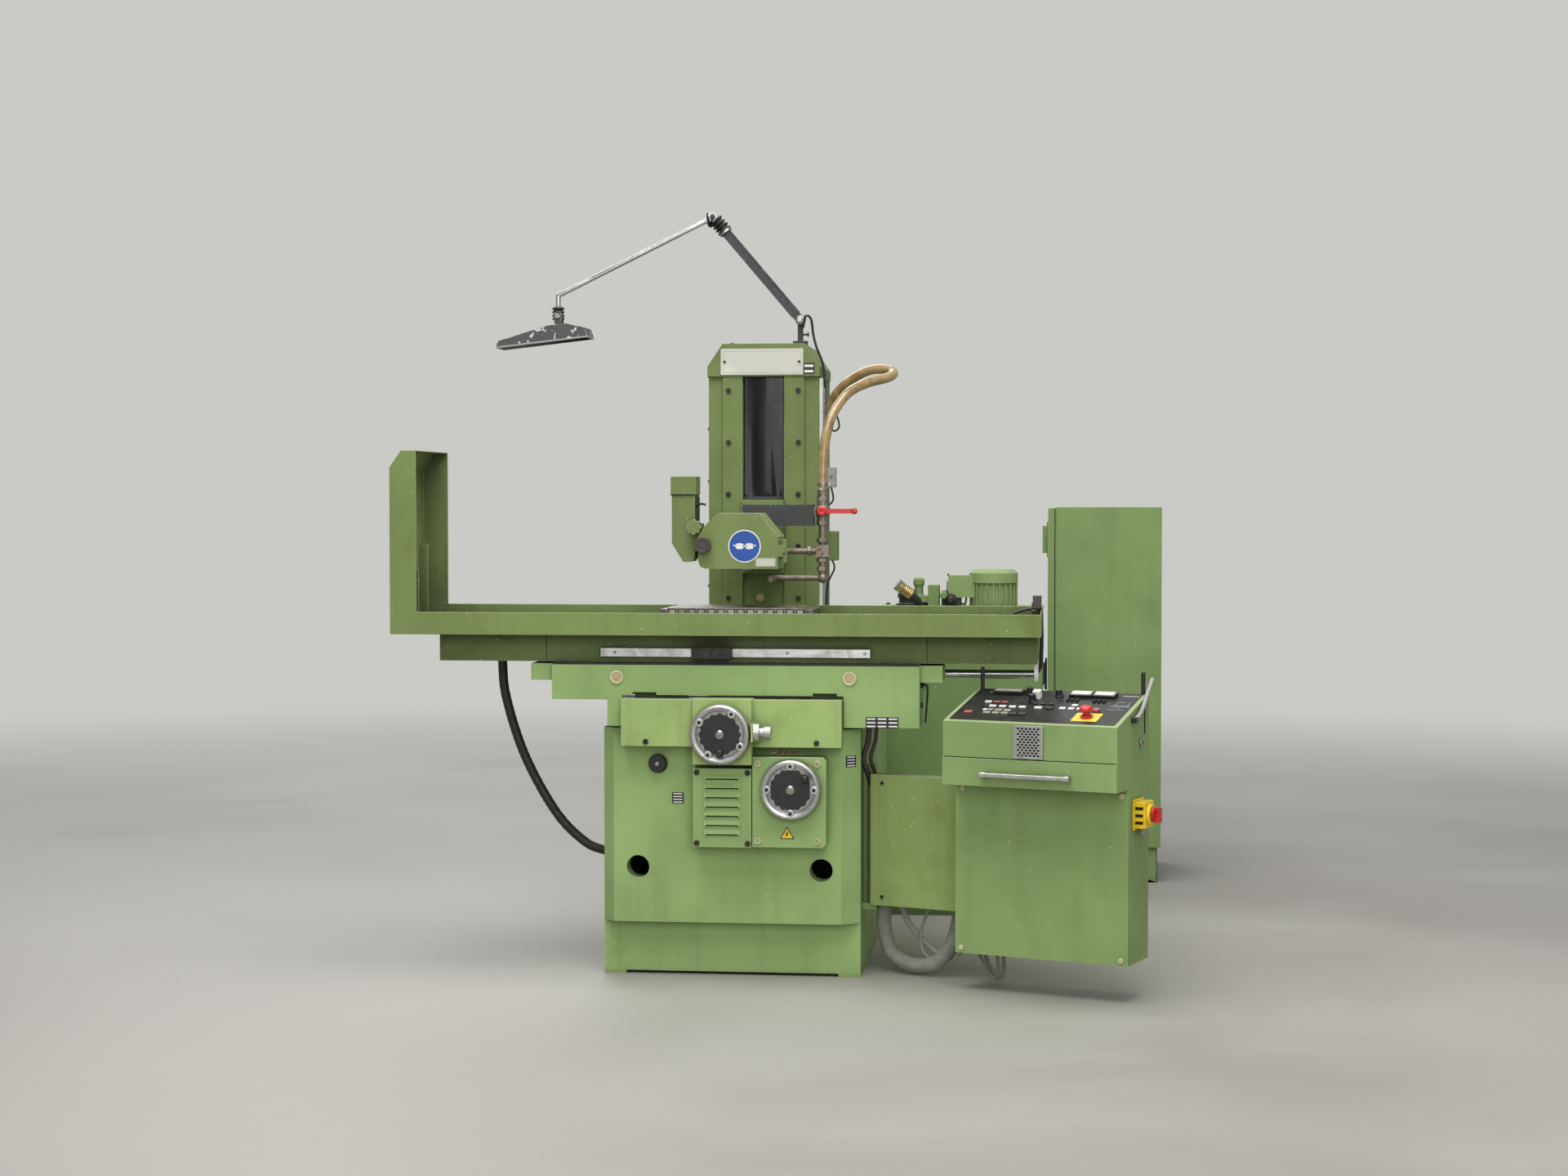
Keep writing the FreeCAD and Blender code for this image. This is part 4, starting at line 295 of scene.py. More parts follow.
def cover_cloth(name):
    """Smooth coated cloth with a soft sheen, fine weave and dust in its folds."""
    paint = Paint(name)
    threads = [paint.noise(1.5, 1, stretch=stretch) for stretch in ((1, 1, 6), (6, 1, 1))]
    smear = paint.noise(70, 4, stretch=(1, 1, 0.35), warp=0.6)
    shade = paint.coat(
        colour(11, 11, 14),
        (paint.band(smear, 0.4, 0.7), colour(20, 20, 24)),
        (paint.band(paint.noise(9, 4), 0.64, 0.78, 0.12), DUST),
    )
    gloss = paint.maths("ADD", paint.band(smear, 0.3, 0.8, 0.25), 0.26)
    return paint.finish(shade, gloss, paint.maths("ADD", *threads), 0.012,
                        Coat_Weight=0.1, Specular_IOR_Level=0.32)


CHUCK_PITCH = 15.0
ALONG_X, COARSE = (0.06, 1, 1), (0.04, 0.04, 0.04)
ENAMELS = {
    "reseda_paint": ((143, 170, 107), {"age": 0.35, "chips": 0.85}),
    "cover_paint": ((152, 175, 107), {"chips": 1.0}),
    # A little darker than the base enamel: painted shade on the console's upper faces.
    "console_paint": ((131, 155, 96), {"age": 0.3}),
    "arm_paint": ((134, 154, 90), {"age": 0.55}),
    # A darker copy of the base enamel: painted shade on an upper part; its large reach paints shade
    # inside the hood and under the tray's overhang.
    "tray_paint": ((116, 134, 77), {"age": 0.7, "chips": 0.75, "reach": 260, "soot": 0.7}),
    # Darker than the tray's paint: painted shadow under the tray's overhang, partly oil.
    "table_paint": ((98, 114, 66), {"age": 0.9, "chips": 0.6, "reach": 160, "soot": 0.85}),
    # The guard and column tones are darker copies of the base enamel: painted shade on the upper
    # parts, which get less light.
    "guard_paint": ((113, 129, 76), {"age": 0.6}),
    "column_paint": ((105, 121, 70), {"age": 0.6, "chips": 0.6}),
    # Lighter than the cabinet's paint: painted light on the motor.
    "motor_paint": ((134, 154, 98), {"age": 0.4, "chips": 0.5}),
    "cabinet_paint": ((116, 140, 85), {"age": 0.25, "chips": 0.6}),
    "dark_paint": ((66, 67, 70), {"age": 0.3, "chips": 0.6, "under": STEEL, "rough": 0.45}),
    "shade_paint": ((78, 78, 80), {"age": 0.2, "chips": 0.55, "flake": 26, "bare": 0.095,
                                   "under": colour(196, 196, 190), "rough": 0.42}),
    "rusty_primer": ((158, 132, 86), {"age": 0.9, "chips": 1.0, "flake": 9, "bare": 0.12}),
}
METALS = {
    "black_screws": ((52, 52, 54), {"rough": 0.4, "rust": 0.15, "metallic": 0.7}),
    "aluminium": ((196, 196, 194), {"tarnish": 0.25}),
    "bar_aluminium": ((206, 206, 204), {"rough": 0.36, "grain": ALONG_X}),
    "machined_steel": ((170, 166, 158), {"rough": 0.24, "tarnish": 0.45, "rust": 0.2}),
    "pipe_steel": ((138, 130, 118), {"rough": 0.45, "tarnish": 0.7, "rust": 0.3, "metallic": 0.8}),
    "bronze": ((176, 136, 76), {"rough": 0.35}),
    "brass": ((206, 178, 122), {"rough": 0.32, "tarnish": 0.5}),
    "chrome": ((206, 206, 208), {"rough": 0.22, "grain": COARSE, "tarnish": 0.1,
                                 "depth": 0.001}),
    "notch_steel": ((182, 176, 166), {"rough": 0.4, "tarnish": 0.6, "rust": 0.1}),
}
PLASTICS = {
    "black_plastic": ((25, 25, 26), {"dust": 0.15}),
    "brown_plastic": ((62, 52, 50), {"rough": 0.34}),
    "black_rubber": ((28, 28, 29), {"rough": 0.5, "dust": 0.2}),
    "grey_hose": ((142, 142, 134), {"rough": 0.55, "dust": 0.4}),
    "grey_plastic": ((150, 152, 148), {"rough": 0.45}),
    "red_plastic": ((196, 34, 34), {"rough": 0.3, "dust": 0.12}),
    "dull_red": ((150, 62, 60), {}),
    "yellow_plastic": ((238, 200, 16), {"rough": 0.35, "dust": 0.15}),
    "white_plastic": ((226, 226, 220), {"rough": 0.35, "dust": 0.2}),
    "plate_enamel": ((198, 197, 184), {"dust": 0.05, "cloud": 240, "depth": 0.01}),
    "cream_plastic": ((198, 196, 152), {"dust": 0.2}),
    "plug_centre": ((186, 160, 118), {"rough": 0.45}),
    "olive_plastic": ((150, 152, 132), {}),
    "sign_blue": ((12, 74, 158), {"rough": 0.3, "dust": 0.05}),
    "panel_film": ((34, 33, 34), {"rough": 0.34, "dust": 0.03, "depth": 0.01}),
    "print_line": ((176, 176, 172), {}),
    "lamp_glass": ((226, 226, 214), {"rough": 0.2, "Coat_Weight": 0.6}),
    # Flat black: painted shade in slots, slits, behind the vent mesh and round the chuck's pole
    # ends; also the dark colour of seams.
    "hollow_black": ((12, 12, 12), {"rough": 0.8, "dust": 0.05}),
}
SPECIALS = {"chuck_steel": chuck_steel, "abrasive": abrasive, "hose_rubber": amber_hose,
            "cover_rubber": cover_cloth}
FINISH = {name: make(name) for name, make in SPECIALS.items()}
for make, rows in ((enamel, ENAMELS), (metal, METALS), (plastic, PLASTICS)):
    for name, (tone, settings) in rows.items():
        FINISH[name] = make(name, colour(*tone), **settings)

NODE_FINISH = {
    "reseda_paint": "base_casting louvre_cover feed_housing saddle_casting way_guards",
    "cover_paint": "control_cover",
    "console_paint": "console_cabinet console_drawer",
    "arm_paint": "console_arm",
    "tray_paint": "splash_tray",
    "table_paint": "table_casting",
    "guard_paint": "extraction_duct wheel_guard guard_door star_knob",
    "column_paint": "column_casting way_cover_strips column_cap head_slide spindle_housing"
                    " spindle_motor",
    "motor_paint": "hydraulic_motor",
    "cabinet_paint": "hydraulic_tank cabinet_shell cabinet_door",
    "dark_paint": "valve_carrier lamp_post lamp_arm",
    "shade_paint": "lamp_head",
    "black_screws": "socket_screws left_dog right_dog",
    "aluminium": "vertical_handwheel cross_handwheel plunger_knob",
    "bar_aluminium": "dog_rail",
    "machined_steel": "vertical_feed_shaft cross_screw elevating_screw spindle_shaft"
                      " spindle_bearings wheel_flange table_cylinder",
    "pipe_steel": "coolant_valve",
    "bronze": "cross_nut",
    "chrome": "lamp_tube piston_rod",
    "chuck_steel": "magnetic_chuck",
    "abrasive": "grinding_wheel",
    "black_plastic": "selector_knob vertical_crank cross_crank feed_rate_knob",
    "brown_plastic": "guard_knob",
    "red_plastic": "valve_lever emergency_stop main_switch_knob",
    "cover_rubber": "column_bellows",
    "hose_rubber": "coolant_hose",
    "black_rubber": "drain_hose",
}


# ---------------------------------------------------------------- shapes


def move(x, y, z):
    """A shift."""
    return Matrix.Translation((x, y, z))


def spin(degrees, axis="Z"):
    """A turn about an axis through the origin."""
    return Matrix.Rotation(math.radians(degrees), 4, axis)


def shifted(origin, *points):
    """Points that are given from an origin."""
    return [tuple(a + b for a, b in zip(origin, point)) for point in points]


BLOCK_FACES = [(0, 1, 3, 2), (4, 6, 7, 5), (0, 4, 5, 1), (2, 3, 7, 6), (0, 2, 6, 4), (1, 5, 7, 3)]


def block(low, high):
    """A box between two corners."""
    spans = list(zip(low, high))
    points = [Vector((x, y, z)) for x in spans[0] for y in spans[1] for z in spans[2]]
    return points, BLOCK_FACES


def slabs(origin, *corners):
    """Boxes between pairs of corners that are given from an origin."""
    return [block(*shifted(origin, *pair)) for pair in zip(corners[::2], corners[1::2])]


def lathe(profile, sides=32):
    """(radius, height) points turned round +Z; a radius of 0 closes the end."""
    points, rows = [], []
    for radius, height in profile:
        start = len(points)
        if radius == 0:
            points.append(Vector((0, 0, height)))
            rows.append([start] * sides)
        else:
            points += [Vector((x, y, height)) for x, y in circle(radius, sides)]
            rows.append(list(range(start, start + sides)))
    return points, bands(rows)


def bands(rows):
    """Faces between neighbouring closed rows of point numbers."""
    faces = []
    for lower, upper in zip(rows, rows[1:]):
        for i in range(len(lower)):
            j = (i + 1) % len(lower)
            corners = dict.fromkeys((lower[i], lower[j], upper[j], upper[i]))
            if len(corners) > 2:
                faces.append(tuple(corners))
    return faces


def circle(radius, sides=32, centre=(0, 0)):
    """Points round a circle."""
    angles = [math.tau * i / sides for i in range(sides)]
    return [(centre[0] + radius * math.cos(a), centre[1] + radius * math.sin(a)) for a in angles]


def rounded(width, height, corner, centre=(0, 0)):
    """The outline of a rectangle with round corners."""
    outline = []
    for quarter, (sign_x, sign_y) in enumerate(((1, 1), (-1, 1), (-1, -1), (1, -1))):
        x = centre[0] + sign_x * (width / 2 - corner)
        y = centre[1] + sign_y * (height / 2 - corner)
        for step in range(5):
            angle = math.radians(90 * quarter + 22.5 * step)
            outline.append((x + corner * math.cos(angle), y + corner * math.sin(angle)))
    return outline


def fillet(outline, radius, steps=4):
    """The outline with its corners rounded."""
    softened = []
    for i, corner in enumerate(outline):
        corner = Vector(corner)
        before = (Vector(outline[i - 1]) - corner).normalized() * radius
        after = (Vector(outline[(i + 1) % len(outline)]) - corner).normalized() * radius
        for t in (step / steps for step in range(steps + 1)):
            softened.append(tuple(corner + before * (1 - t) ** 2 + after * t**2))
    return softened


def prism(outline, depth, base=0.0):
    """An outline pushed out along +Z from its base."""
    count = len(outline)
    points = [Vector((x, y, z)) for z in (base, base + depth) for x, y in outline]
    ends = [list(range(count)), list(range(count, 2 * count))]
    return points, [tuple(end) for end in ends] + bands(ends)


def sheet(outlines, depth):
    """A flat plate with holes: its first outline is its rim."""
    curve = bpy.data.curves.new("outline", "CURVE")
    curve.dimensions = "2D"
    curve.fill_mode = "BOTH"
    curve.extrude = depth / 2
    for outline in outlines:
        spline = curve.splines.new("POLY")
        spline.points.add(len(outline) - 1)
        for point, (x, y) in zip(spline.points, outline):
            point.co = (x, y, 0, 1)
        spline.use_cyclic_u = True
    holder = bpy.data.objects.new("outline", curve)
    mesh = holder.to_mesh()
    points = [vertex.co + Vector((0, 0, depth / 2)) for vertex in mesh.vertices]
    faces = [tuple(face.vertices) for face in mesh.polygons]
    holder.to_mesh_clear()
    bpy.data.objects.remove(holder)
    bpy.data.curves.remove(curve)
    return points, faces


def smooth(points, step=8.0):
    """A path through the points, sampled about every step millimetres."""
    points = [Vector(point) for point in points]
    padded = [2 * points[0] - points[1], *points, 2 * points[-1] - points[-2]]
    path = []
    for a, b, c, d in zip(padded, padded[1:], padded[2:], padded[3:]):
        count = max(1, round((c - b).length / step))
        for t in (i / count for i in range(count)):
            cubic = (3 * b - a - 3 * c + d) * t**3 + (2 * a - 5 * b + 4 * c - d) * t**2
            path.append((cubic + (c - a) * t + 2 * b) / 2)
    return path + [points[-1]]


def sweep(path, radius, sides=12):
    """A round bar along a path; radius is a number or a function of the distance along it."""
    path = [Vector(point) for point in path]
    points, rows, travelled = [], [], 0.0
    across = (path[1] - path[0]).orthogonal()
    for i, centre in enumerate(path):
        ahead = (path[min(i + 1, len(path) - 1)] - path[max(i - 1, 0)]).normalized()
        across = (across - ahead * across.dot(ahead)).normalized()
        travelled += (centre - path[i - 1]).length if i else 0.0
        reach = radius(travelled) if callable(radius) else radius
        rows.append(list(range(len(points), len(points) + sides)))
        for x, y in circle(reach, sides):
            points.append(centre + across * x + ahead.cross(across) * y)
    return points, bands(rows) + [tuple(rows[0]), tuple(rows[-1])]


def tube(points, step, radius, sides):
    """A round bar along a smooth path through the points."""
    return sweep(smooth(points, step), radius, sides)


def ribbed(thick, thin, pitch):
    """The radius along a corrugated tube."""
    def radius(distance):
        return thin + (thick - thin) * (0.5 - 0.5 * math.cos(math.tau * distance / pitch))
    return radius


FACING = {
    "front": ((1, 0, 0), (0, 0, 1)),
    "back": ((-1, 0, 0), (0, 0, 1)),
    "right": ((0, 1, 0), (0, 0, 1)),
    "left": ((0, -1, 0), (0, 0, 1)),
    "top": ((1, 0, 0), (0, 1, 0)),
    "under": ((1, 0, 0), (0, -1, 0)),
}


def at(side, x, y, z):
    """The place of a shape drawn flat in X and Y that stands on a side, its +Z outwards."""
    across, up = (Vector(axis) for axis in FACING[side])
    place = Matrix((across, up, across.cross(up))).transposed().to_4x4()
    place.translation = (x, y, z)
    return place


def aimed(spot, direction):
    """The place of a shape at a spot, with its +Z along a direction."""
    turn = Vector((0, 0, 1)).rotation_difference(direction).to_matrix().to_4x4()
    return Matrix.Translation(spot) @ turn


def around(count, radius, start=0.0):
    """Places round a circle, each turned to face outwards."""
    return [spin(start + 360 / count * i) @ move(radius, 0, 0) for i in range(count)]


def put(form, *places):
    """A copy of a form at each place, as one form."""
    points, faces = [], []
    for place in places:
        start = len(points)
        points += [place @ point for point in form[0]]
        faces += [tuple(start + i for i in face) for face in form[1]]
    return points, faces


def joined(*forms):
    """Several forms as one."""
    points, faces = [], []
    for more_points, more_faces in forms:
        faces += [tuple(len(points) + i for i in face) for face in more_faces]
        points += more_points
    return points, faces


WELD_DISTANCE = 1e-5
FLAT, BEVELLED, SHARP = (math.radians(angle) for angle in (0.6, 30, 35))
FINE_EDGE, COARSE_EDGE, THIN_PART = 0.8, 1.6, 100


def soften(item, width):
    """Rounds an object's sharp edges by modifiers, so that they catch the light."""
    weld = item.modifiers.new("weld", "WELD")
    weld.merge_threshold = WELD_DISTANCE
    flat = item.modifiers.new("flat", "DECIMATE")
    flat.decimate_type = "DISSOLVE"
    flat.angle_limit = FLAT
    bevel = item.modifiers.new("bevel", "BEVEL")
    bevel.width = width * METRE
    bevel.segments = 2
    bevel.limit_method = "ANGLE"
    bevel.angle_limit = BEVELLED
    shading = item.modifiers.new("shading", "WEIGHTED_NORMAL")
    shading.keep_sharp = True


def link(item):
    """Puts an object in the scene."""
    bpy.context.scene.collection.objects.link(item)


def piece(name, body, finish, *forms, edge=0.4, stands_for=(), bend=None):
    """Joins forms into one object that rides on a body; given bend, its place is baked into its
    mesh and it rides on no body.
    """
    mesh_data = bmesh.new()
    for points, faces in forms:
        corners = [mesh_data.verts.new(Vector(point) * METRE) for point in points]
        for face in faces:
            mesh_data.faces.new([corners[i] for i in face])
    bmesh.ops.remove_doubles(mesh_data, verts=mesh_data.verts, dist=1e-6)
    bmesh.ops.recalc_face_normals(mesh_data, faces=mesh_data.faces)
    mesh = bpy.data.meshes.new(name)
    mesh_data.to_mesh(mesh)
    mesh_data.free()
    mesh.polygons.foreach_set("use_smooth", [True] * len(mesh.polygons))
    mesh.set_sharp_from_angle(angle=SHARP)
    mesh.materials.append(FINISH[finish])
    item = bpy.data.objects.new(name, mesh)
    link(item)
    if edge:
        soften(item, edge)
    if bend:
        start, end = (Vector(point) * METRE for point in bend)
        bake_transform(item)
    else:
        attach(item, body)
    if stands_for:
        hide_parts(*stands_for)
    return item


def turned(name, body, finish, profile, sides, *places, edge=0.4):
    """A piece made of one turned shape at each place."""
    piece(name, body, finish, put(lathe(profile, sides), *places), edge=edge)


def plate(name, body, finish, outline, depth, *places, base=0.0, edge=0.0):
    """A piece made of one flat shape at each place."""
    piece(name, body, finish, put(prism(outline, depth, base), *places), edge=edge)


def boxes(name, body, finish, origin, *corners, edge=0.4):
    """A piece made of boxes between pairs of corners that are given from an origin."""
    piece(name, body, finish, *slabs(origin, *corners), edge=edge)


# ---------------------------------------------------------------- small fittings


def screw_head(radius):
    """A socket cap screw's head with its hexagon recess, standing on its face."""
    shares = ((1, 0), (1, 0.75), (0.86, 0.9), (0.52, 0.9), (0.5, 0.35), (0, 0.3))
    return lathe([(radius * wide, radius * high) for wide, high in shares], 18)


def screws(name, body, radius, *places, edge=0.3):
    """A piece made of black socket screws."""
    piece(name, body, "black_screws", put(screw_head(radius), *places), edge=edge)


def hex_nut(radius, depth):
    """A hexagon nut, drawn without its bore."""
    return lathe([(0, 0), (radius, 0), (radius, depth), (0, depth)], 6)


def plug(radius, depth):
    """A press-in cap: a rolled rim round a shallow dish."""
    shares = ((1, 0), (1, 0.6), (0.9, 1), (0.72, 1), (0.6, 0.45), (0, 0.35))
    return lathe([(radius * wide, depth * high) for wide, high in shares])


def striped_label(name, body, place, width, height, rows, columns=1):
    """A black plate with pale printed bars instead of words."""
    plate(name, body, "black_plastic", rounded(width, height, 1), 0.8, place)
    bars = []
    pitch_x, pitch_y = width / columns, height / rows
    for column in range(columns):
        for row in range(rows):
            centre = (pitch_x * (column + 0.5) - width / 2, pitch_y * (row + 0.5) - height / 2)
            bars.append(prism(rounded(pitch_x * 0.78, pitch_y * 0.4, 0.4, centre), 0.5, 0.6))
    piece(name + "_print", body, "white_plastic", put(joined(*bars), place), edge=0)


# ---------------------------------------------------------------- base and handwheels


def dress_handwheel(wheel, crank, lug_angle):
    """The black scalloped disc, rim lugs, screws and centre nut of one handwheel."""
    rim, grip = BOX[wheel], BOX[crank]
    depth = 9.5
    place = at("front", rim.x, rim.front + depth, rim.z)
    radius, scallop, lobes, steps = 61, 5, 16, 128
    outline = []
    for i in range(steps):
        angle = math.tau * i / steps
        reach = radius - scallop * abs(math.sin(angle * lobes / 2)) ** 3
        outline.append((reach * math.cos(angle), reach * math.sin(angle)))
    grip_hole = circle(11.5, 24, (grip.x - rim.x, grip.z - rim.z))
    disc = sheet([outline, circle(9, 24), grip_hole], 6.5)
    piece(f"{wheel}_disc", wheel, "black_plastic", put(disc, place), edge=0.8)
    lug = lathe([(12, 0), (12, depth - 1.5), (10.5, depth - 0.5), (0, depth - 0.5)], 24)
    spots = [place @ spot for spot in around(4, 68.5, lug_angle)]
    ring = lathe([(66, 0), (66.5, 4), (68, 5.5), (70, 4), (72, 0)], 72)
    piece(f"{wheel}_lugs", wheel, "aluminium", put(lug, *spots), put(ring, place), edge=0.6)
    screws(f"{wheel}_screws", wheel, 5, *[spot @ move(0, 0, depth - 1.5) for spot in spots])
    collar = lathe([(14, 3), (13, 8.5), (9, 11), (6, 11), (6, 12), (0, 12)], 32)
    stud = lathe([(4, 12), (4, 17), (2.8, 19), (1.4, 19), (1.2, 17.5), (0, 17.5)], 16)
    piece(f"{wheel}_nut", wheel, "machined_steel", put(collar, place),
          put(hex_nut(7.5, 4), place @ move(0, 0, 10.5)), put(stud, place))


def dress_base():
    """Plugs, labels, hazard plate, worn patch and hole collars on the base's front."""
    base, feed, cover = BOX["base_casting"], BOX["feed_housing"], BOX["control_cover"]
    spots = [at("front", x, feed.front, z) for x in (feed.left + 16, feed.right - 26)
             for z in (feed.low + 19, feed.top - 19)]
    piece("feed_box_plugs", "base", "cream_plastic", put(plug(10, 4), *spots))
    turned("feed_box_plug_centres", "base", "olive_plastic",
           [(4, 1), (4, 3.6), (2.5, 4.4), (0, 4.4)], 16, *spots, edge=0.2)
    label_size = (34, 33, 4)
    striped_label("base_label", "base", at("front", -169, base.front, 526), *label_size)
    chamfer_across, chamfer_deep = 54, 40
    slant = spin(math.degrees(math.atan2(chamfer_deep, chamfer_across)))
    striped_label("corner_label", "base", move(338, -20, 637) @ slant @ at("front", 0, 0, 0),
                  *label_size)
    triangle = [(0, 24), (-21, -12), (21, -12)]
    inner = [(x * 0.8, y * 0.8) for x, y in triangle]
    bolt = [(1, 10), (-5, 1), (-1, 1), (-2, -6), (5, 3), (1, 3), (3, 10)]
    hazard = at("front", 160, feed.front, 430)
    plate("hazard_border", "base", "black_plastic", fillet(triangle, 4), 0.8, hazard)
    plate("hazard_plate", "base", "yellow_plastic", fillet(inner, 3), 1.2, hazard)
    plate("hazard_mark", "base", "black_plastic", bolt, 0.5, hazard, base=1.0)
    scuff = [(-42, -5), (-20, -7), (30, -5), (44, -3), (40, 4), (8, 6), (-16, 4), (-38, 6)]
    plate("scuffed_patch", "base", "rusty_primer", scuff, 0.3, at("front", 148, base.front, 664))
    # A black strip for the dark gap between cover and saddle: painted shade.
    piece("cover_strip", "base", "black_rubber",
          block((cover.left + 2, base.front - 14, cover.top - 1),
                (cover.right - 2, base.front - 4, cover.top + 4)), edge=0.6)
    turned("lifting_hole_collars", "base", "reseda_paint",
           [(34, -26), (34, 0.6), (37, 0.8), (37, 0)], 48,
           *[at("front", x, base.front, z) for x, z in ((-288, 322), (253, 318))], edge=0)
    knob = BOX["selector_knob"]
    turned("selector_nut", "selector_knob", "machined_steel", [(6, 0), (6, 2), (4, 3), (0, 3)], 20,
           at("front", knob.x, knob.front, knob.z), edge=0.3)


# ---------------------------------------------------------------- saddle and table


def dress_saddle():
    """Way plugs, label, way wipers and the oil line at the saddle's right end."""
    saddle = BOX["saddle_casting"]
    spots = [at("front", x, saddle.front, saddle.top - 44) for x in (-347, 337)]
    piece("way_plugs", "saddle", "cream_plastic", put(plug(21, 5), *spots))
    turned("way_plug_centres", "saddle", "plug_centre", [(13, 0), (13, 2.4), (11, 3), (0, 3.2)], 32,
           *spots, edge=0.3)
    striped_label("saddle_label", "saddle", at("front", 432, saddle.front, 754), 95, 32, 3, 3)
    length = saddle.right - saddle.left - 8
    boxes("way_wipers", "saddle", "black_rubber", (saddle.left + 4, saddle.front, saddle.top),
          (0, 2, -8.5), (length, 26, -4.5), (0, 18, -5), (length, 26, -1))
    port = (saddle.right, saddle.front + 70, saddle.top - 66)
    line = shifted(port, (0, 0, 0), (16, 0, 0), (20, 0, -16), (14, 0, -110))
    piece("oil_line", "saddle", "black_rubber", tube(line, 5, 3, 10), edge=0)
    place = at("right", *port)
    piece("oil_fittings", "saddle", "black_screws", put(hex_nut(9, 8), place),
          put(hex_nut(8, 7), place @ move(0, -58, 0)))


def dress_table():
    """Hood plates, the chuck's pole ends and bolts, seams, socket and the chuck's lead."""
    tray, table, chuck = BOX["splash_tray"], BOX["table_casting"], BOX["magnetic_chuck"]
    x, low = tray.left + 80, tray.low + 5
    piece("hood_plates", "table", "tray_paint", block((x - 32, 58, low), (x - 4, 62, 1268)),
          block((x - 46, 20, low), (x - 43, 60, 1262)),
          block((x - 22, -62, low), (x - 2, -58, 1196)), edge=0.8)
    pitch, count = 29, 14
    notches = [at("front", (i - (count - 1) / 2) * pitch, chuck.front, chuck.top - 13)
               for i in range(count)]
    plate("chuck_slot_shadows", "table", "hollow_black", rounded(22, 19, 2), 0.5, *notches)
    plate("chuck_pole_ends", "table", "notch_steel", rounded(17, 14, 1.5), 1.4, *notches, edge=0.3)
    screws("chuck_bolts", "table", 6,
           *[at("front", side * 205, chuck.front, chuck.low + 16) for side in (-1, 1)])
    height = table.top - table.low
    seams = [slabs((x, table.front, table.low), (0, -0.4, 2), (1.5, 1, height))[0]
             for x in (-560, 560)]
    piece("table_seams", "table", "hollow_black", *seams, edge=0)
    socket = (tray.right - 20, tray.back - 60, tray.low + 66)
    boxes("cable_bracket", "table", "tray_paint", socket, (-12, -4, -62), (12, 0, 22),
          (-12, -30, -2), (2, 0, 2), edge=0.8)
    boxes("chuck_socket", "table", "brown_plastic", socket, (-8, -34, 4), (18, -4, 44), edge=2)
    lead = shifted(socket, (-4, -20, 6), (-50, -26, -4), (-120, -30, -36), (-230, -40, -56))
    lead += [(chuck.right + 30, socket[1] - 60, tray.low + 10),
             (chuck.right, socket[1] - 70, chuck.low + 18)]
    piece("chuck_lead", "table", "black_rubber", tube(lead, 12, 5, 12), edge=0)


def hang_table_hoses():
    """The black drain hose under the table and the cable at its right end."""
    tray, saddle, drain = BOX["splash_tray"], BOX["saddle_casting"], BOX["drain_hose"]
    radius = 14.5
    start = (drain.left + radius, drain.y, drain.top)
    end = (drain.right - 4, drain.y, drain.low + radius)
    path = shifted(start, (0, 0, 0), (12, 0, -120), (70, 0, -300), (165, 0, -470), (255, 0, -560))
    piece("drain_hose_skin", ("table", "saddle"), "black_rubber",
          tube(path + [end], 6, ribbed(radius, 13.6, 9), 20), edge=0,
          stands_for=("drain_hose",), bend=((0, 0, start[2] - 20), (0, 0, end[2] + 60)))
    top = (tray.right - 16, tray.back - 74, BOX["table_casting"].low)
    path = shifted(top, (0, 0, 166), (12, 0, 140), (14, 0, 20), (4, 0, -36), (-50, 0, -52),
                   (-170, 0, -53), (-270, 0, -46))
    path.append((saddle.right - 4, top[1], top[2] - 34))
    piece("table_cable", ("table", "saddle"), "black_rubber", tube(path, 10, 6, 12), edge=0,
          bend=((top[0], 0, 0), (saddle.right + 40, 0, 0)))


# ---------------------------------------------------------------- column and head


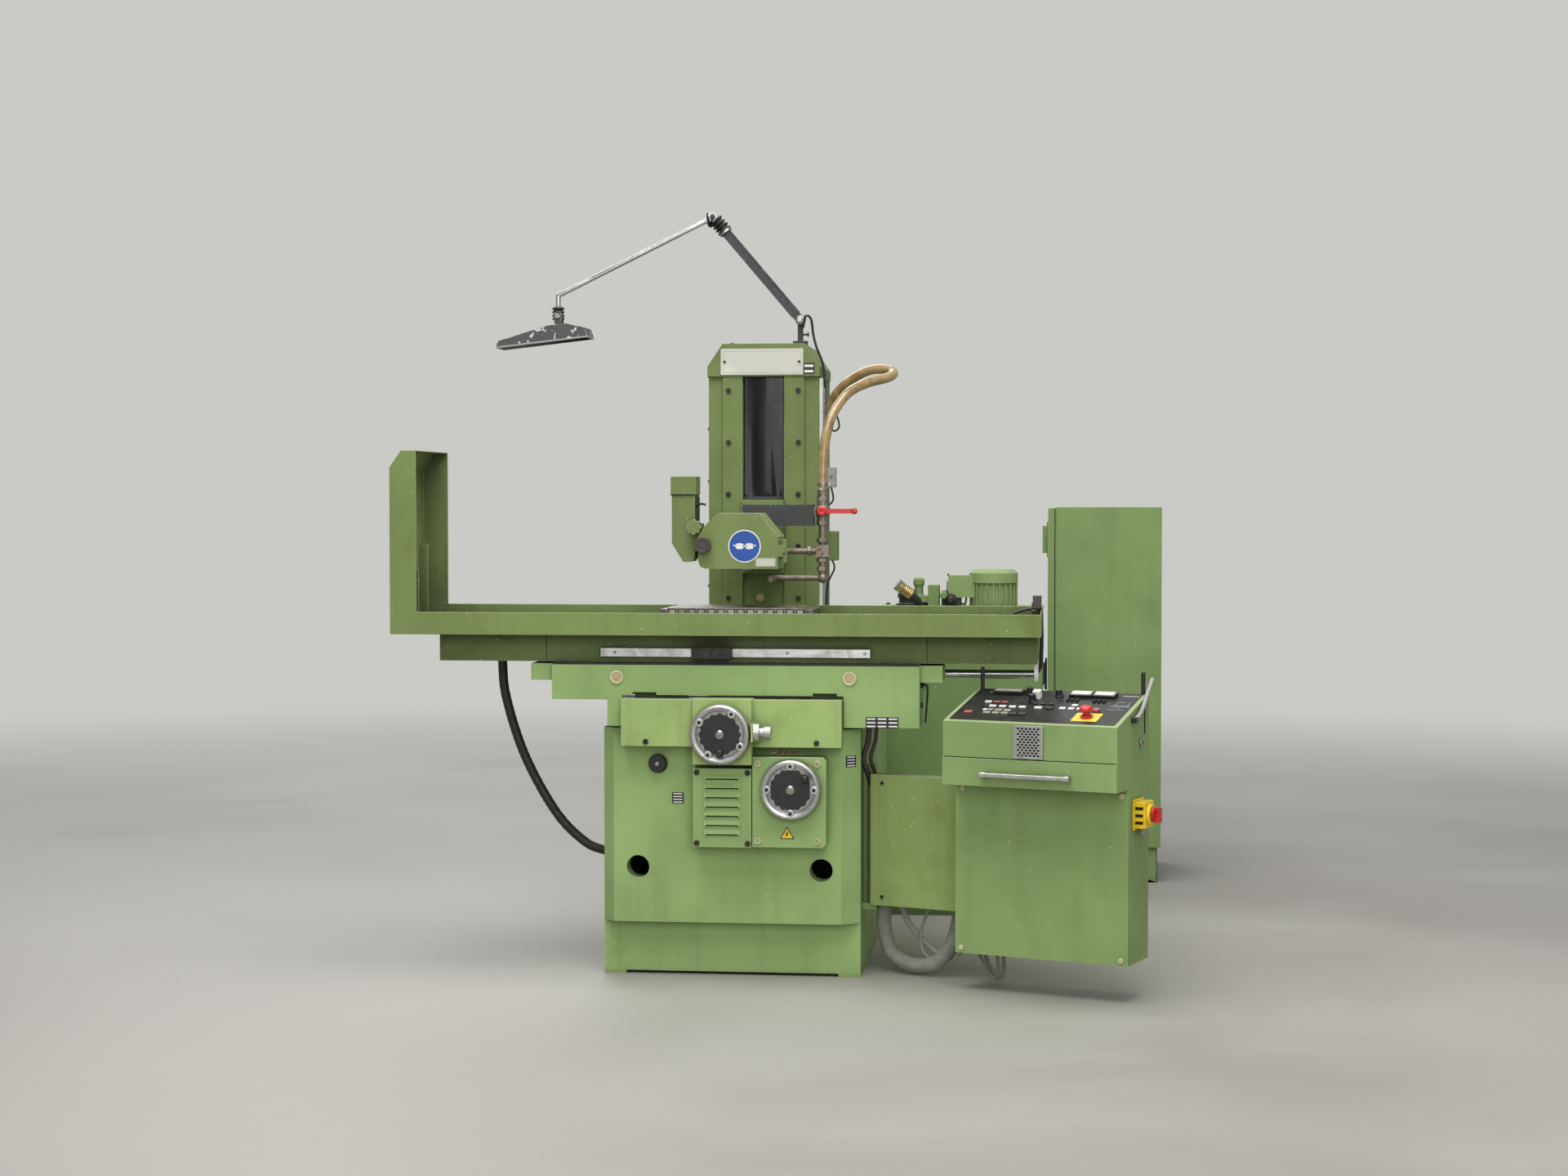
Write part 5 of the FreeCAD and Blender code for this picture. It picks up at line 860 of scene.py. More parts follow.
def dress_column():
    """Name plate, labels, rails, hose bracket, boxes and wires on the column."""
    cap, column, hose = BOX["column_cap"], BOX["column_casting"], BOX["coolant_hose"]
    place = at("front", cap.x - 4, cap.front, cap.z - 6)
    plate("name_plate", "base", "plate_enamel", rounded(262, 82, 4), 2, place, edge=0.5)
    border = sheet([rounded(250, 70, 3), rounded(246, 66, 2)], 0.4)
    piece("name_plate_border", "base", "print_line", put(border, place @ move(0, 0, 2)), edge=0)
    screws("name_plate_screws", "base", 4, *[place @ move(x, 0, 2) for x in (-118, 118)], edge=0.2)
    corner = at("front", cap.right - 33, cap.front, cap.z - 28)
    striped_label("cap_label", "base", corner, 36, 34, 2)
    screws("cap_bolts", "base", 7, *[move(x, cap.front + 40, cap.top - 2)
                                     for x in (cap.left + 75, cap.right - 75)], edge=0.4)
    foot = (column.right, column.front, column.low)
    height = column.top - column.low
    boxes("side_rails", "base", "white_plastic", foot, (0, 16, 120), (9, 28, height - 6),
          (0, 42, 120), (9, 54, height - 6), edge=0.8)
    boxes("cable_channel", "base", "grey_plastic", foot, (0, 62, 60), (14, 96, height), edge=1)
    boxes("hose_bracket", "base", "pipe_steel", (column.right, hose.back - 10, hose.top - 76),
          (0, -22, -18), (5, 22, 18), (0, -20, -22), (52, 20, -16),
          (34, -20, -22), (40, 20, 14), edge=0.8)
    side = (column.right + 14, column.front, 0)
    boxes("junction_box", "base", "grey_plastic", side, (0, 62, 1440), (34, 104, 1504), edge=2)
    spot = at("front", side[0] + 20, column.front + 62, 1476)
    piece("junction_screw", "base", "machined_steel", put(screw_head(5), spot), edge=0.3)
    boxes("limit_box", "base", "column_paint", side, (0, 80, 1206), (38, 150, 1300), edge=2.5)
    wires = [
        [(20, 70, 1440), (26, 66, 1400), (8, 60, 1376), (2, 66, 1340)],
        [(22, 90, 1206), (28, 84, 1180), (8, 76, 1130), (2, 76, 1050)],
        [(6, 84, 1700), (34, 76, 1672), (44, 76, 1632), (24, 80, 1620), (10, 84, 1660),
         (4, 84, 1560)],
    ]
    piece("column_wires", "base", "black_rubber",
          *[tube(shifted(side, *wire), 5, 3, 10) for wire in wires], edge=0)
    screws("column_side_screws", "base", 5,
           *[at("left", column.left, column.front + 14, column.low + 65 + 166 * i)
             for i in range(7)])


def drape(points, faces, held, frames, depths):
    """Where a sheet's points hang after a cloth simulation, kept in a depth range along Y."""
    mesh = bpy.data.meshes.new("drape")
    mesh.from_pydata([point * METRE for point in points], [], faces)
    item = bpy.data.objects.new("drape", mesh)
    link(item)
    item.vertex_groups.new(name="held").add(held, 1.0, "REPLACE")
    settings = item.modifiers.new("cloth", "CLOTH").settings
    settings.quality = 6
    settings.mass = 0.4
    settings.tension_stiffness = 25
    settings.compression_stiffness = 18
    settings.bending_stiffness = 0.9
    settings.vertex_group_mass = "held"
    for number in range(1, frames + 1):
        bpy.context.scene.frame_set(number)
    shown = item.evaluated_get(bpy.context.evaluated_depsgraph_get()).to_mesh()
    largest_rise = 25.0
    rest = []
    for vertex, start in zip(shown.vertices, points):
        moved = vertex.co / METRE
        depth = min(depths[1], max(depths[0], moved.y))
        rise = max(-largest_rise, min(largest_rise, moved.z - start.z))
        rest.append(Vector((start.x, depth, start.z + rise)))
    bpy.context.scene.frame_set(1)
    bpy.data.objects.remove(item)
    bpy.data.meshes.remove(mesh)
    return rest


def hang_column_cover():
    """The coated cloth that closes the column's slot above the head, between two clamps."""
    cloth = BOX["column_bellows"]
    columns, rows = 26, 84
    width, height = cloth.right - cloth.left - 2, cloth.top - cloth.low
    belly_depth, fold_depth = 7, 5
    points = []
    for v in (row / rows for row in range(rows + 1)):
        slack = math.sin(math.pi * v)
        for u in (column / columns for column in range(columns + 1)):
            wave = 1 - math.cos(2 * math.pi * (u - 0.7 + 0.14 * v))
            belly = belly_depth * wave * (0.55 + 0.45 * slack)
            corner = abs(2 * u - 1) ** 3 * max(0.0, 1 - 3.2 * v)
            fold = fold_depth * corner * math.sin(22 * u + 9 * v)
            points.append(Vector((cloth.left + 1 + u * width, cloth.front + belly + fold,
                                  cloth.low + v * height)))
    stride = columns + 1
    faces = [(i, i + 1, i + stride + 1, i + stride)
             for row in range(rows) for i in range(row * stride, row * stride + columns)]
    held = [i for i in range(len(points)) if i < stride or i >= rows * stride]
    sagged = drape(points, faces, held, 24, (cloth.front - 8, cloth.back + 16))
    skin = piece("column_cover_cloth", ("base", "head"), "cover_rubber", (sagged, faces), edge=0,
                 stands_for=("column_bellows",),
                 bend=((0, 0, cloth.top - 4), (0, 0, cloth.low + 4)))
    skin.modifiers.new("smooth", "SUBSURF").levels = 1
    thick = skin.modifiers.new("thickness", "SOLIDIFY")
    thick.thickness = 2 * METRE
    thick.offset = 0
    boxes("cover_clamp_bar", "head", "dark_paint", (cloth.left, cloth.front, cloth.low),
          (0, -6, -2), (cloth.right - cloth.left, 4, 10), edge=0.8)


def dress_head():
    """Door sign and plate, duct trim, damper lever, slide plug and the motor's details."""
    door, duct, motor = BOX["guard_door"], BOX["extraction_duct"], BOX["spindle_motor"]
    slide, housing = BOX["head_slide"], BOX["spindle_housing"]
    sign = at("front", 26, door.front, door.z - 15)
    turned("sign_rim", "guard_door", "white_plastic", [(48, 0), (48, 0.9), (0, 0.9)], 64, sign,
           edge=0)
    turned("sign_face", "guard_door", "sign_blue", [(44.5, 0.8), (44.5, 1.4), (0, 1.4)], 64, sign,
           edge=0)
    shapes = [(24, 17, 7, (-14.5, 0)), (24, 17, 7, (14.5, 0)), (12, 5, 2), (9, 4, 1, (-29, 2)),
              (9, 4, 1, (29, 2))]
    goggles = joined(*[prism(rounded(*shape), 0.7, 1.3) for shape in shapes])
    piece("sign_symbol", "guard_door", "white_plastic", put(goggles, sign), edge=0)
    screws("hinge_screws", "guard_door", 3.5,
           *[at("front", door.right - 8, door.front - 0.2, door.low + z) for z in (44, 118)],
           edge=0.2)
    place = at("front", 88, door.front, door.low + 19)
    plate("door_plate", "guard_door", "plate_enamel", rounded(58, 24, 2), 1.2, place, edge=0.3)
    border = sheet([rounded(53, 19, 1.5), rounded(51, 17, 1)], 0.3)
    piece("door_plate_border", "guard_door", "print_line", put(border, place @ move(0, 0, 1.2)),
          edge=0)
    low = duct.low
    piece("duct_seam", "extraction_duct", "hollow_black",
          block((duct.left - 0.6, duct.front - 0.6, low + 196),
                (duct.right - 2.4, duct.back + 0.6, low + 199)), edge=0)
    piece("duct_gasket", "extraction_duct", "black_rubber",
          block((duct.right - 4, duct.front + 6, low + 14),
                (duct.right - 0.5, duct.back - 6, low + 192)), edge=0.5)
    hub = (duct.right, duct.front + 16, low + 168)
    lever = tube(shifted(hub, (2, 0, 0), (16, 0, 3), (28, 0, 0)), 4, 3.5, 10)
    boss = put(lathe([(7, 0), (7, 6), (5, 8), (0, 8)], 18), at("right", hub[0] - 3, *hub[1:]))
    piece("damper_lever", "extraction_duct", "black_screws", lever, boss, edge=0.3)
    piece("skirt_plug", "head", "plug_centre",
          put(plug(13, 4), at("front", slide.x - 8, slide.front, 1092)))
    ring = at("back", housing.x, BOX["column_casting"].back + 8, housing.z)
    screws("motor_flange_screws", "head", 5, *[ring @ spot for spot in around(8, 55, 22.5)])
    slots = [rounded(5, 42, 2.4, (x, 22 * side)) for x in range(-56, 57, 14) for side in (1, -1)]
    cowl = at("back", motor.x, motor.back, BOX["spindle_bearings"].z)
    grille = sheet([circle(78, 48)] + slots, 3)
    piece("motor_cowl_grille", "head", "column_paint", put(grille, cowl))


def dress_coolant():
    """Nuts, lever details, the clear hose and its clamp on the wheel's coolant line."""
    valve, hose, lever = BOX["coolant_valve"], BOX["coolant_hose"], BOX["valve_lever"]
    x, y = 232.0, valve.back - 24
    tee, elbow = 1246.0, valve.low + 16
    heights = (tee + 26, tee - 34, elbow + 20, lever.z - 42, lever.z + 30)
    nuts = [put(hex_nut(19, 13), *[move(x, y, z) for z in heights]),
            put(hex_nut(17, 12), at("left", x - 34, y, tee)),
            put(hex_nut(11, 12), *[at("left", x - reach, y, elbow) for reach in (30, 78)])]
    piece("pipe_nuts", "head", "pipe_steel", *nuts, edge=1)
    turned("lever_boss", "valve_lever", "red_plastic",
           [(15, 0), (15, 3), (11, 6), (6, 6), (5, 4), (0, 4)], 28,
           at("front", x, lever.front, lever.z), edge=0.5)
    turned("lever_tip", "valve_lever", "red_plastic", [(9, 0), (9.5, -3), (7, 3), (0, 4)], 24,
           at("front", lever.right - 9, lever.front, lever.z))
    start, end = Vector((x, y, hose.low)), Vector((206, hose.back - 18, hose.top - 85))
    path = [start + Vector(step) for step in ((0, 0, 0), (1, 2, 66), (6, 18, 146), (24, 52, 221),
                                              (64, 117, 288))]
    path += shifted((x, y, hose.top), (118, 192, -17), (170, 252, 0), (192, 297, 15),
                    (172, 337, 31), (113, 372, 31), (56, 402, 5))
    path += [end + Vector((32, -27, 50)), end]
    piece("coolant_hose_skin", ("head", "base"), "hose_rubber", tube(path, 7, 15, 24), edge=0,
          stands_for=("coolant_hose",), bend=((0, y + 60, 0), (0, end.y - 60, 0)))
    clamp = lathe([(15.4, 0), (17.2, 0), (17.2, 9), (15.4, 9)], 32)
    ear = block((14, -5, 0), (24, 5, 9))
    piece("hose_clamp", "head", "machined_steel",
          put(joined(clamp, ear), Matrix.Translation(start + Vector((0, 0, 8)))))


# ---------------------------------------------------------------- lamp


SHADE_TILT = -6.5


def dress_lamp():
    """Rubber boots, ribs, joint bolts, cable, glass and trim of the machine lamp."""
    foot, elbow, drop = pivot("lamp_arm_tilt"), pivot("lamp_tube_tilt"), pivot("lamp_head_tilt")
    along = (elbow - foot).normalized()
    away = (Vector((BOX["lamp_tube"].left + 12, elbow.y, drop.z + 66)) - elbow).normalized()
    boot = [elbow - along * 62, elbow - along * 34, elbow - along * 8 + away * 4, elbow + away * 22]
    piece("elbow_boot", ("lamp_arm", "lamp_tube"), "black_rubber",
          tube(boot, 2.0, ribbed(25, 17, 13), 28), edge=0,
          bend=(elbow - along * 30, elbow + away * 14))
    turned("boot_clamp", "lamp_arm", "machined_steel", [(20, 0), (22, 0), (22, 9), (20, 9)], 32,
           aimed(elbow - along * 66, along))
    gaiter = [(drop.x, drop.y, drop.z + rise) for rise in (-14, 0, 16, 30)]
    piece("shade_boot", ("lamp_tube", "lamp_head"), "black_rubber",
          tube(gaiter, 1.5, ribbed(21, 15, 11), 28), edge=0,
          bend=((drop.x, drop.y, drop.z + 20), (drop.x, drop.y, drop.z - 8)))
    side = along.cross(Vector((0, 1, 0)))
    rails, raised = [], Vector((0, -13.5, 0))
    for sign in (-1, 1):
        start, end = foot + along * 46 + side * 13 * sign, elbow - along * 70 + side * 13 * sign
        rails.append(sweep([start + raised, end + raised], 1.6, 8))
    piece("arm_ribs", "lamp_arm", "dark_paint", *rails, edge=0)
    turned("arm_bolts", "lamp_arm", "machined_steel",
           [(14, 0), (14, 2.5), (9, 3.5), (9, 6), (7.5, 8), (0, 8)], 28,
           at("front", foot.x, foot.y - 20, foot.z), at("back", foot.x, foot.y + 20, foot.z))
    turned("post_screw", "lamp_post", "black_screws", [(3, 0), (3, 12), (7, 13), (7, 18), (0, 18)],
           16, at("right", foot.x + 9, foot.y, foot.z - 46), edge=0.3)
    cap, column = BOX["column_cap"], BOX["column_casting"]
    y = foot.y - 16
    lead = [foot + Vector(step) for step in ((10, -20, -26), (20, -27, 12), (36, -25, 2),
                                             (42, -16, -44))]
    lead += [(foot.x + 52, y, cap.top - 6), (cap.right + 4, y, cap.top - 62),
             (cap.right + 10, y, cap.low - 20), (column.right + 12, y + 4, column.top - 60),
             (column.right + 10, y + 4, column.top - 200)]
    piece("lamp_cable", ("lamp_post", "base"), "black_rubber", tube(lead, 8, 4, 10), edge=0,
          bend=((0, 0, foot.z - 30), (0, 0, cap.top - 10)))
    hang = Matrix.Translation(drop) @ spin(SHADE_TILT, "Y")
    length, depth, middle, low = 300.0, 120.0, -52.0, -82.0
    plate("lamp_glass", "lamp_head", "lamp_glass", rounded(length - 22, depth - 18, 12), 4,
          hang @ at("under", middle, 0, low + 5), edge=1)
    trim = sheet([rounded(length + 1, depth + 1, 6), rounded(length - 12, depth - 12, 4)], 5)
    piece("shade_trim", "lamp_head", "grey_plastic",
          put(trim, hang @ at("top", middle, 0, low - 0.5)), edge=0.6)


# ---------------------------------------------------------------- console


CONSOLE_ANGLE = -21.0
PANEL_TILT = 16.6
DESK = move(pivot("console_swing").x, pivot("console_swing").y, 0) @ spin(CONSOLE_ANGLE)
DESK_LEFT, DESK_RIGHT = 333.0, 852.0
DESK_FRONT, DESK_BODY_FRONT, DESK_BACK = -240.0, -150.0, 20.0
PANEL_LOW, PANEL_HIGH = 778.0, 853.0
PANEL = DESK @ move(0, DESK_FRONT, PANEL_LOW) @ spin(PANEL_TILT, "X")
FILM = 1.5


def on_panel(across, up_slope, height=FILM):
    """A place on the key panel: across from the hinge, up the slope from its front edge."""
    return PANEL @ move(across, up_slope, height)


def key_row(start, up_slope, count, pitch, size):
    """A row of key caps as one form."""
    cap = prism(rounded(*size, 1.5), 4)
    return put(cap, *[on_panel(start + pitch * i, up_slope) for i in range(count)])


KEYS = {
    "white_keys": ("white_plastic", (
        (412, 150, 1, 26, (20, 11)), (438, 118, 4, 30, (20, 11)), (576, 118, 1, 0, (22, 13)),
        (430, 88, 1, 0, (18, 10)), (648, 120, 3, 26, (18, 13)), (676, 146, 1, 0, (18, 11)))),
    "olive_keys": ("olive_plastic", ((440, 66, 3, 27, (21, 12)), (440, 88, 3, 27, (21, 12)))),
    "red_keys": ("dull_red", ((384, 66, 1, 0, (24, 18)), (438, 150, 2, 24, (20, 10)))),
    "black_keys": ("black_plastic", (
        (520, 66, 2, 27, (22, 18)), (556, 150, 3, 24, (16, 10)), (610, 118, 1, 0, (24, 13)))),
}
PRINTED_LINES = (
    ((776, 150), (838, 150)), ((784, 160), (832, 160)), ((790, 160), (790, 186)),
    ((826, 160), (826, 190)), ((790, 186), (812, 186)), ((806, 150), (806, 138)),
    ((776, 128), (826, 128)),
)


def dress_panel():
    """The key panel's film, keys, displays, knobs and the emergency stop's plate."""
    lean = math.cos(math.radians(PANEL_TILT))
    width, slope, margin = DESK_RIGHT - DESK_LEFT, (DESK_BACK - DESK_FRONT) / lean, 26
    plate("panel_film", "console", "panel_film", rounded(width - margin, slope - margin, 6), FILM,
          on_panel((DESK_LEFT + DESK_RIGHT) / 2, slope / 2, 0), edge=0.3)
    x, y = 741.0, 60 / lean
    stop = sheet([rounded(76, 62, 3), circle(12, 32)], 1)
    piece("stop_plate", "console", "yellow_plastic", put(stop, on_panel(x, y)), edge=0.2)
    turned("stop_collar", "console", "red_plastic", [(17, 0), (17, 5), (14, 7), (10.5, 7)], 36,
           on_panel(x, y, FILM + 1))
    turned("reset_button", "console", "dull_red", [(11, 0), (11, 7), (9, 9), (0, 9)], 28,
           on_panel(x + 12, y + 46), edge=0.5)
    for name, (finish, rows) in KEYS.items():
        piece(name, "console", finish, *[key_row(*row) for row in rows], edge=0.6)
    displays = (668, 738)
    plate("display_frames", "console", "black_plastic", rounded(68, 34, 3), 9,
          *[on_panel(x, 226) for x in displays], edge=1)
    plate("display_lenses", "console", "white_plastic", rounded(58, 24, 2), 4,
          *[on_panel(x, 226, 9) for x in displays], edge=0.8)
    plate("meter_frame", "console", "black_plastic", rounded(92, 26, 3), 12, on_panel(448, 222),
          edge=1)
    plate("meter_face", "console", "grey_plastic", rounded(80, 15, 1), 2, on_panel(448, 221, 13),
          edge=0.3)
    turned("panel_knobs", "console", "black_plastic",
           [(13, 0), (13, 4), (10, 7), (9, 20), (8, 22), (0, 22)], 28,
           on_panel(512, 224), on_panel(604, 214), edge=0.6)
    plate("pale_knob", "console", "white_plastic", rounded(22, 22, 3), 24, on_panel(545, 196),
          edge=1)
    jacks = [on_panel(x, y) for x in (640, 654, 668, 720, 734, 748) for y in (180, 192)]
    piece("panel_jacks", "console", "black_screws", put(hex_nut(5, 5), *jacks), edge=0.3)
    lines = [sweep([on_panel(*spot, 1.8).translation for spot in line], 0.7, 6)
             for line in PRINTED_LINES]
    bars = [put(prism(rounded(width, 4, 1), 0.4), on_panel(x, y, 1.4))
            for x, y, width in ((812, 236, 48), (394, 232, 18))]
    piece("panel_print", "console", "print_line", *lines, *bars, edge=0)


def dress_console():
    """Grille, handle, lock, switch box, rod, posts and screws of the console."""
    place = DESK @ at("front", 592, DESK_FRONT, 727)
    width, height = 86, 90
    pitch_x, pitch_y = 12.0, 7.5
    holes = []
    for row in range(-5, 6):
        for column in range(-3, 4):
            x, y = column * pitch_x + (pitch_x / 2 if row % 2 else 0), row * pitch_y
            if abs(x) < width / 2 - 8:
                holes.append([(x - 5, y), (x, y + 3.9), (x + 5, y), (x, y - 3.9)])
    mesh = sheet([rounded(width, height, 2)] + holes, 1.2)
    piece("vent_mesh", "console", "bar_aluminium", put(mesh, place @ move(0, 0, 2.4)), edge=0)
    rim = sheet([rounded(width + 2, height + 2, 3), rounded(width - 14, height - 9, 2)], 4.5)
    piece("vent_frame", "console", "bar_aluminium", put(rim, place))
    dark = block((-width / 2 + 2, -height / 2 + 2, 0.2), (width / 2 - 2, height / 2 - 2, 1))
    piece("vent_shadow", "console", "hollow_black", put(dark, place), edge=0)
    left, right, grip_z = 454, 720, 632
    bar = put(prism(rounded(17, 12, 3), right - left),
              DESK @ at("right", left, DESK_FRONT - 20, grip_z))
    feet = put(prism(rounded(16, 14, 3), 22),
               *[DESK @ at("front", x, DESK_FRONT, grip_z) for x in (left + 8, right - 8)])
    piece("drawer_handle", "console_drawer", "bar_aluminium", bar, feet, edge=1)
    turned("side_lock", "console", "machined_steel",
           [(13, 0), (13, 4), (10, 7), (5, 7), (5, 5), (0, 5)], 28,
           DESK @ at("right", DESK_RIGHT, -50, 722))
    spots = [(DESK_LEFT + 18, 122), (DESK_RIGHT - 20, 122), (DESK_LEFT + 22, 580),
             (DESK_RIGHT - 18, 580)]
    turned("front_screws", "console", "cream_plastic",
           [(8, 0), (8, 2), (6, 3.5), (3, 3.5), (3, 2), (0, 2)], 24,
           *[DESK @ at("front", x, DESK_BODY_FRONT, z) for x, z in spots], edge=0.3)
    wall = DESK @ move(DESK_RIGHT, 0, 0)
    body, back = slabs((0, 0, 0), (0, -112, 488), (36, -40, 562), (0, -118, 482), (6, -34, 568))
    collar = put(lathe([(30, 0), (30, 6), (27, 9), (20, 9)], 40), wall @ at("right", 36, -75, 525))
    piece("switch_box", "console", "yellow_plastic", put(body, wall), put(back, wall), collar,
          edge=3)
    # The slots are black blocks with no opening: painted shade.
    slots = [put(block((8, -114, z), (30, -110, z + 8)), wall) for z in (500, 520, 540)]
    piece("switch_slots", "console", "hollow_black", *slots, edge=0.5)
    turned("switch_gland", "console", "grey_plastic",
           [(12, 0), (12, 8), (9, 9), (9, 16), (6, 20), (0, 20)], 18,
           wall @ at("under", 18, -75, 488))
    rod = tube([(8, -118, 790), (10, -70, 812), (10, -10, 868), (10, 20, 896)], 8, 6, 16)
    piece("support_rod", "console", "grey_plastic", put(rod, wall), edge=0)
    plate("rod_seat", "console", "black_plastic", rounded(22, 16, 3), 14,
          wall @ at("right", 0, -118, 790), edge=1)
    turned("rear_posts", "console", "black_plastic", [(6, 0), (6, 60), (4.5, 66), (0, 68)], 20,
           *[DESK @ move(x, DESK_BACK - 10, PANEL_HIGH - 4)
             for x in (DESK_LEFT + 16, DESK_RIGHT - 14)])
    # The slit is a black block with no opening: painted shade.
    slit = block((0, -22, 744), (1.2, -14, 842))
    piece("side_slit", "console", "hollow_black", put(slit, wall), edge=0)
    screws("arm_screws", "console", 5,
           *[DESK @ at("front", x, -60, z) for x in (60, 310) for z in (235, 570)])


CONDUIT = ((40, 10, 240), (34, 12, 140), (60, 12, 60), (130, 10, 28), (210, 8, 46), (262, 6, 120),
           (288, 6, 220))
CABLES = (
    (9, ((70, 20, 240), (110, 22, 150), (180, 20, 84), (240, 18, 60), (290, 16, 100),
         (312, 14, 220))),
    (5, ((296, 10, 230), (330, 0, 110), (372, -10, 40), (396, -12, 18), (408, -12, 40),
         (400, -10, 130))),
    (6, ((300, 16, 230), (340, 8, 120), (386, 2, 30), (404, 2, 12), (420, 2, 36), (416, 4, 130))),
    (5, ((190, 16, 240), (170, 14, 180), (152, 12, 120), (170, 12, 60), (240, 10, 44),
         (300, 10, 110), (306, 12, 210))),
)


def hang_console_hoses():
    """The grey conduit loop, the cables behind the console's arm and the saddle's two hoses."""
    loop = tube(CONDUIT, 1.8, ribbed(23, 20.5, 7), 20)
    piece("conduit_loop", "console", "grey_hose", put(loop, DESK), edge=0)
    forms = [put(tube(path, 6, radius, 12), DESK) for radius, path in CABLES]
    piece("hanging_cables", "console", "grey_hose", *forms, edge=0)
    low = BOX["saddle_casting"].low
    pair = [tube(shifted((shift, shift, 0), (388, 40, low - 2), (384, 40, 690), (370, 44, 640),
                         (380, 60, 600), (388, 90, 560)), 8, radius, 14)
            for shift, radius in ((0, 8), (20, 6))]
    piece("saddle_hoses", ("saddle", "base"), "brown_plastic", *pair, edge=0,
          bend=((0, 0, low - 10), (0, 0, 600)))


# ---------------------------------------------------------------- hydraulic unit and cabinet


def dress_hydraulics():
    """Valves, hoses, lid, filler and gauge of the tank, and the motor's terminal screws."""
    tank, motor = BOX["hydraulic_tank"], BOX["hydraulic_motor"]
    top, y = tank.top, tank.front + 120
    deck = (0, y, top)
    profile = [(20, 0), (20, 26), (15, 34), (15, 60), (19, 64), (19, 82), (12, 88), (0, 88)]
    piece("valve_manifold", "base", "cabinet_paint",
          *slabs(deck, (494, -26, 0), (532, 34, 82), (470, -20, 22), (500, 12, 46)),
          put(lathe(profile, 28), move(462, y, top + 18)), edge=2)
    turned("valve_knob", "base", "cabinet_paint",
           [(9, 0), (9, 10), (13, 12), (13, 24), (9, 27), (0, 27)], 24,
           at("front", 548, y - 30, top + 48), edge=0.6)
    boxes("solenoid_valve", "base", "dark_paint", deck, (540, -30, 4), (606, 40, 62), edge=3)
    nose = at("front", 572, y - 30, top + 32)
    nut = lathe([(22, 0), (22, 6), (13, 8), (13, 20), (8, 24), (0, 24)], 24)
    corners = [nose @ move(a, b, 0) for a in (-26, 26) for b in (-22, 22)]
    piece("solenoid_nut", "base", "black_screws", put(nut, nose), put(screw_head(4), *corners),
          edge=0.5)
    boxes("solenoid_plug", "base", "grey_plastic", deck, (556, -14, 62), (588, 20, 96), edge=2)
    boxes("plug_lead_cap", "base", "black_plastic", deck, (570, -8, 92), (614, 10, 104), edge=1.5)
    leads = (((606, 0, 98), (634, 0, 84), (644, 0, 40), (632, 0, -4)),
             ((600, 8, 80), (618, 8, 66), (622, 8, 30), (612, 8, -2)))
    piece("solenoid_leads", "base", "grey_hose",
          *[tube(shifted(deck, *lead), 5, 3.5, 10) for lead in leads], edge=0)
    hose = smooth(shifted(deck, (404, -30, 74), (420, -26, 62), (452, -16, 34), (482, 0, 10),
                          (500, 14, -8)), 4)
    piece("pressure_hose", "base", "black_rubber", sweep(hose, 14, 20), edge=0)
    along = (hose[4] - hose[0]).normalized()
    start = aimed(hose[0] - along * 8, along)
    crimp = [(12, 0), (19, 0), (19, 12), (16, 13)]
    for low in range(14, 54, 8):
        crimp += [(18, low), (18, low + 4), (16, low + 5)]
    turned("hose_fitting", "base", "brass", crimp + [(12, 56)], 24, start, edge=0.5)
    piece("union_nut", "base", "machined_steel", put(hex_nut(21, 14), start @ move(0, 0, -12)),
          edge=1)
    piece("tank_lid", "base", "cabinet_paint",
          block((tank.left - 4, tank.front - 4, top - 3), (tank.right + 4, tank.back + 4, top + 2)),
          edge=1)
    screws("lid_bolts", "base", 7,
           *[move(x, depth, top + 2) for x in (tank.left + 16, tank.x, tank.right - 16)
             for depth in (tank.front + 16, tank.back - 16)], edge=0.4)
    turned("filler_cap", "base", "black_plastic",
           [(40, 0), (40, 8), (30, 10), (30, 26), (34, 28), (34, 44), (28, 50), (0, 50)], 36,
           move(tank.left + 90, tank.back - 110, top + 2), edge=1)
    gauge = at("right", tank.right, tank.front + 130, 620)
    plate("level_gauge", "base", "lamp_glass", rounded(26, 150, 10), 12, gauge, edge=1.5)
    piece("gauge_bolts", "base", "machined_steel",
          put(hex_nut(9, 6), *[gauge @ move(0, rise, 12) for rise in (-60, 60)]), edge=0.5)
    box = at("left", motor.left, motor.y, top + 84)
    screws("terminal_screws", "base", 4,
           *[box @ move(a, b, 0) for a in (-32, 32) for b in (-32, 32)])


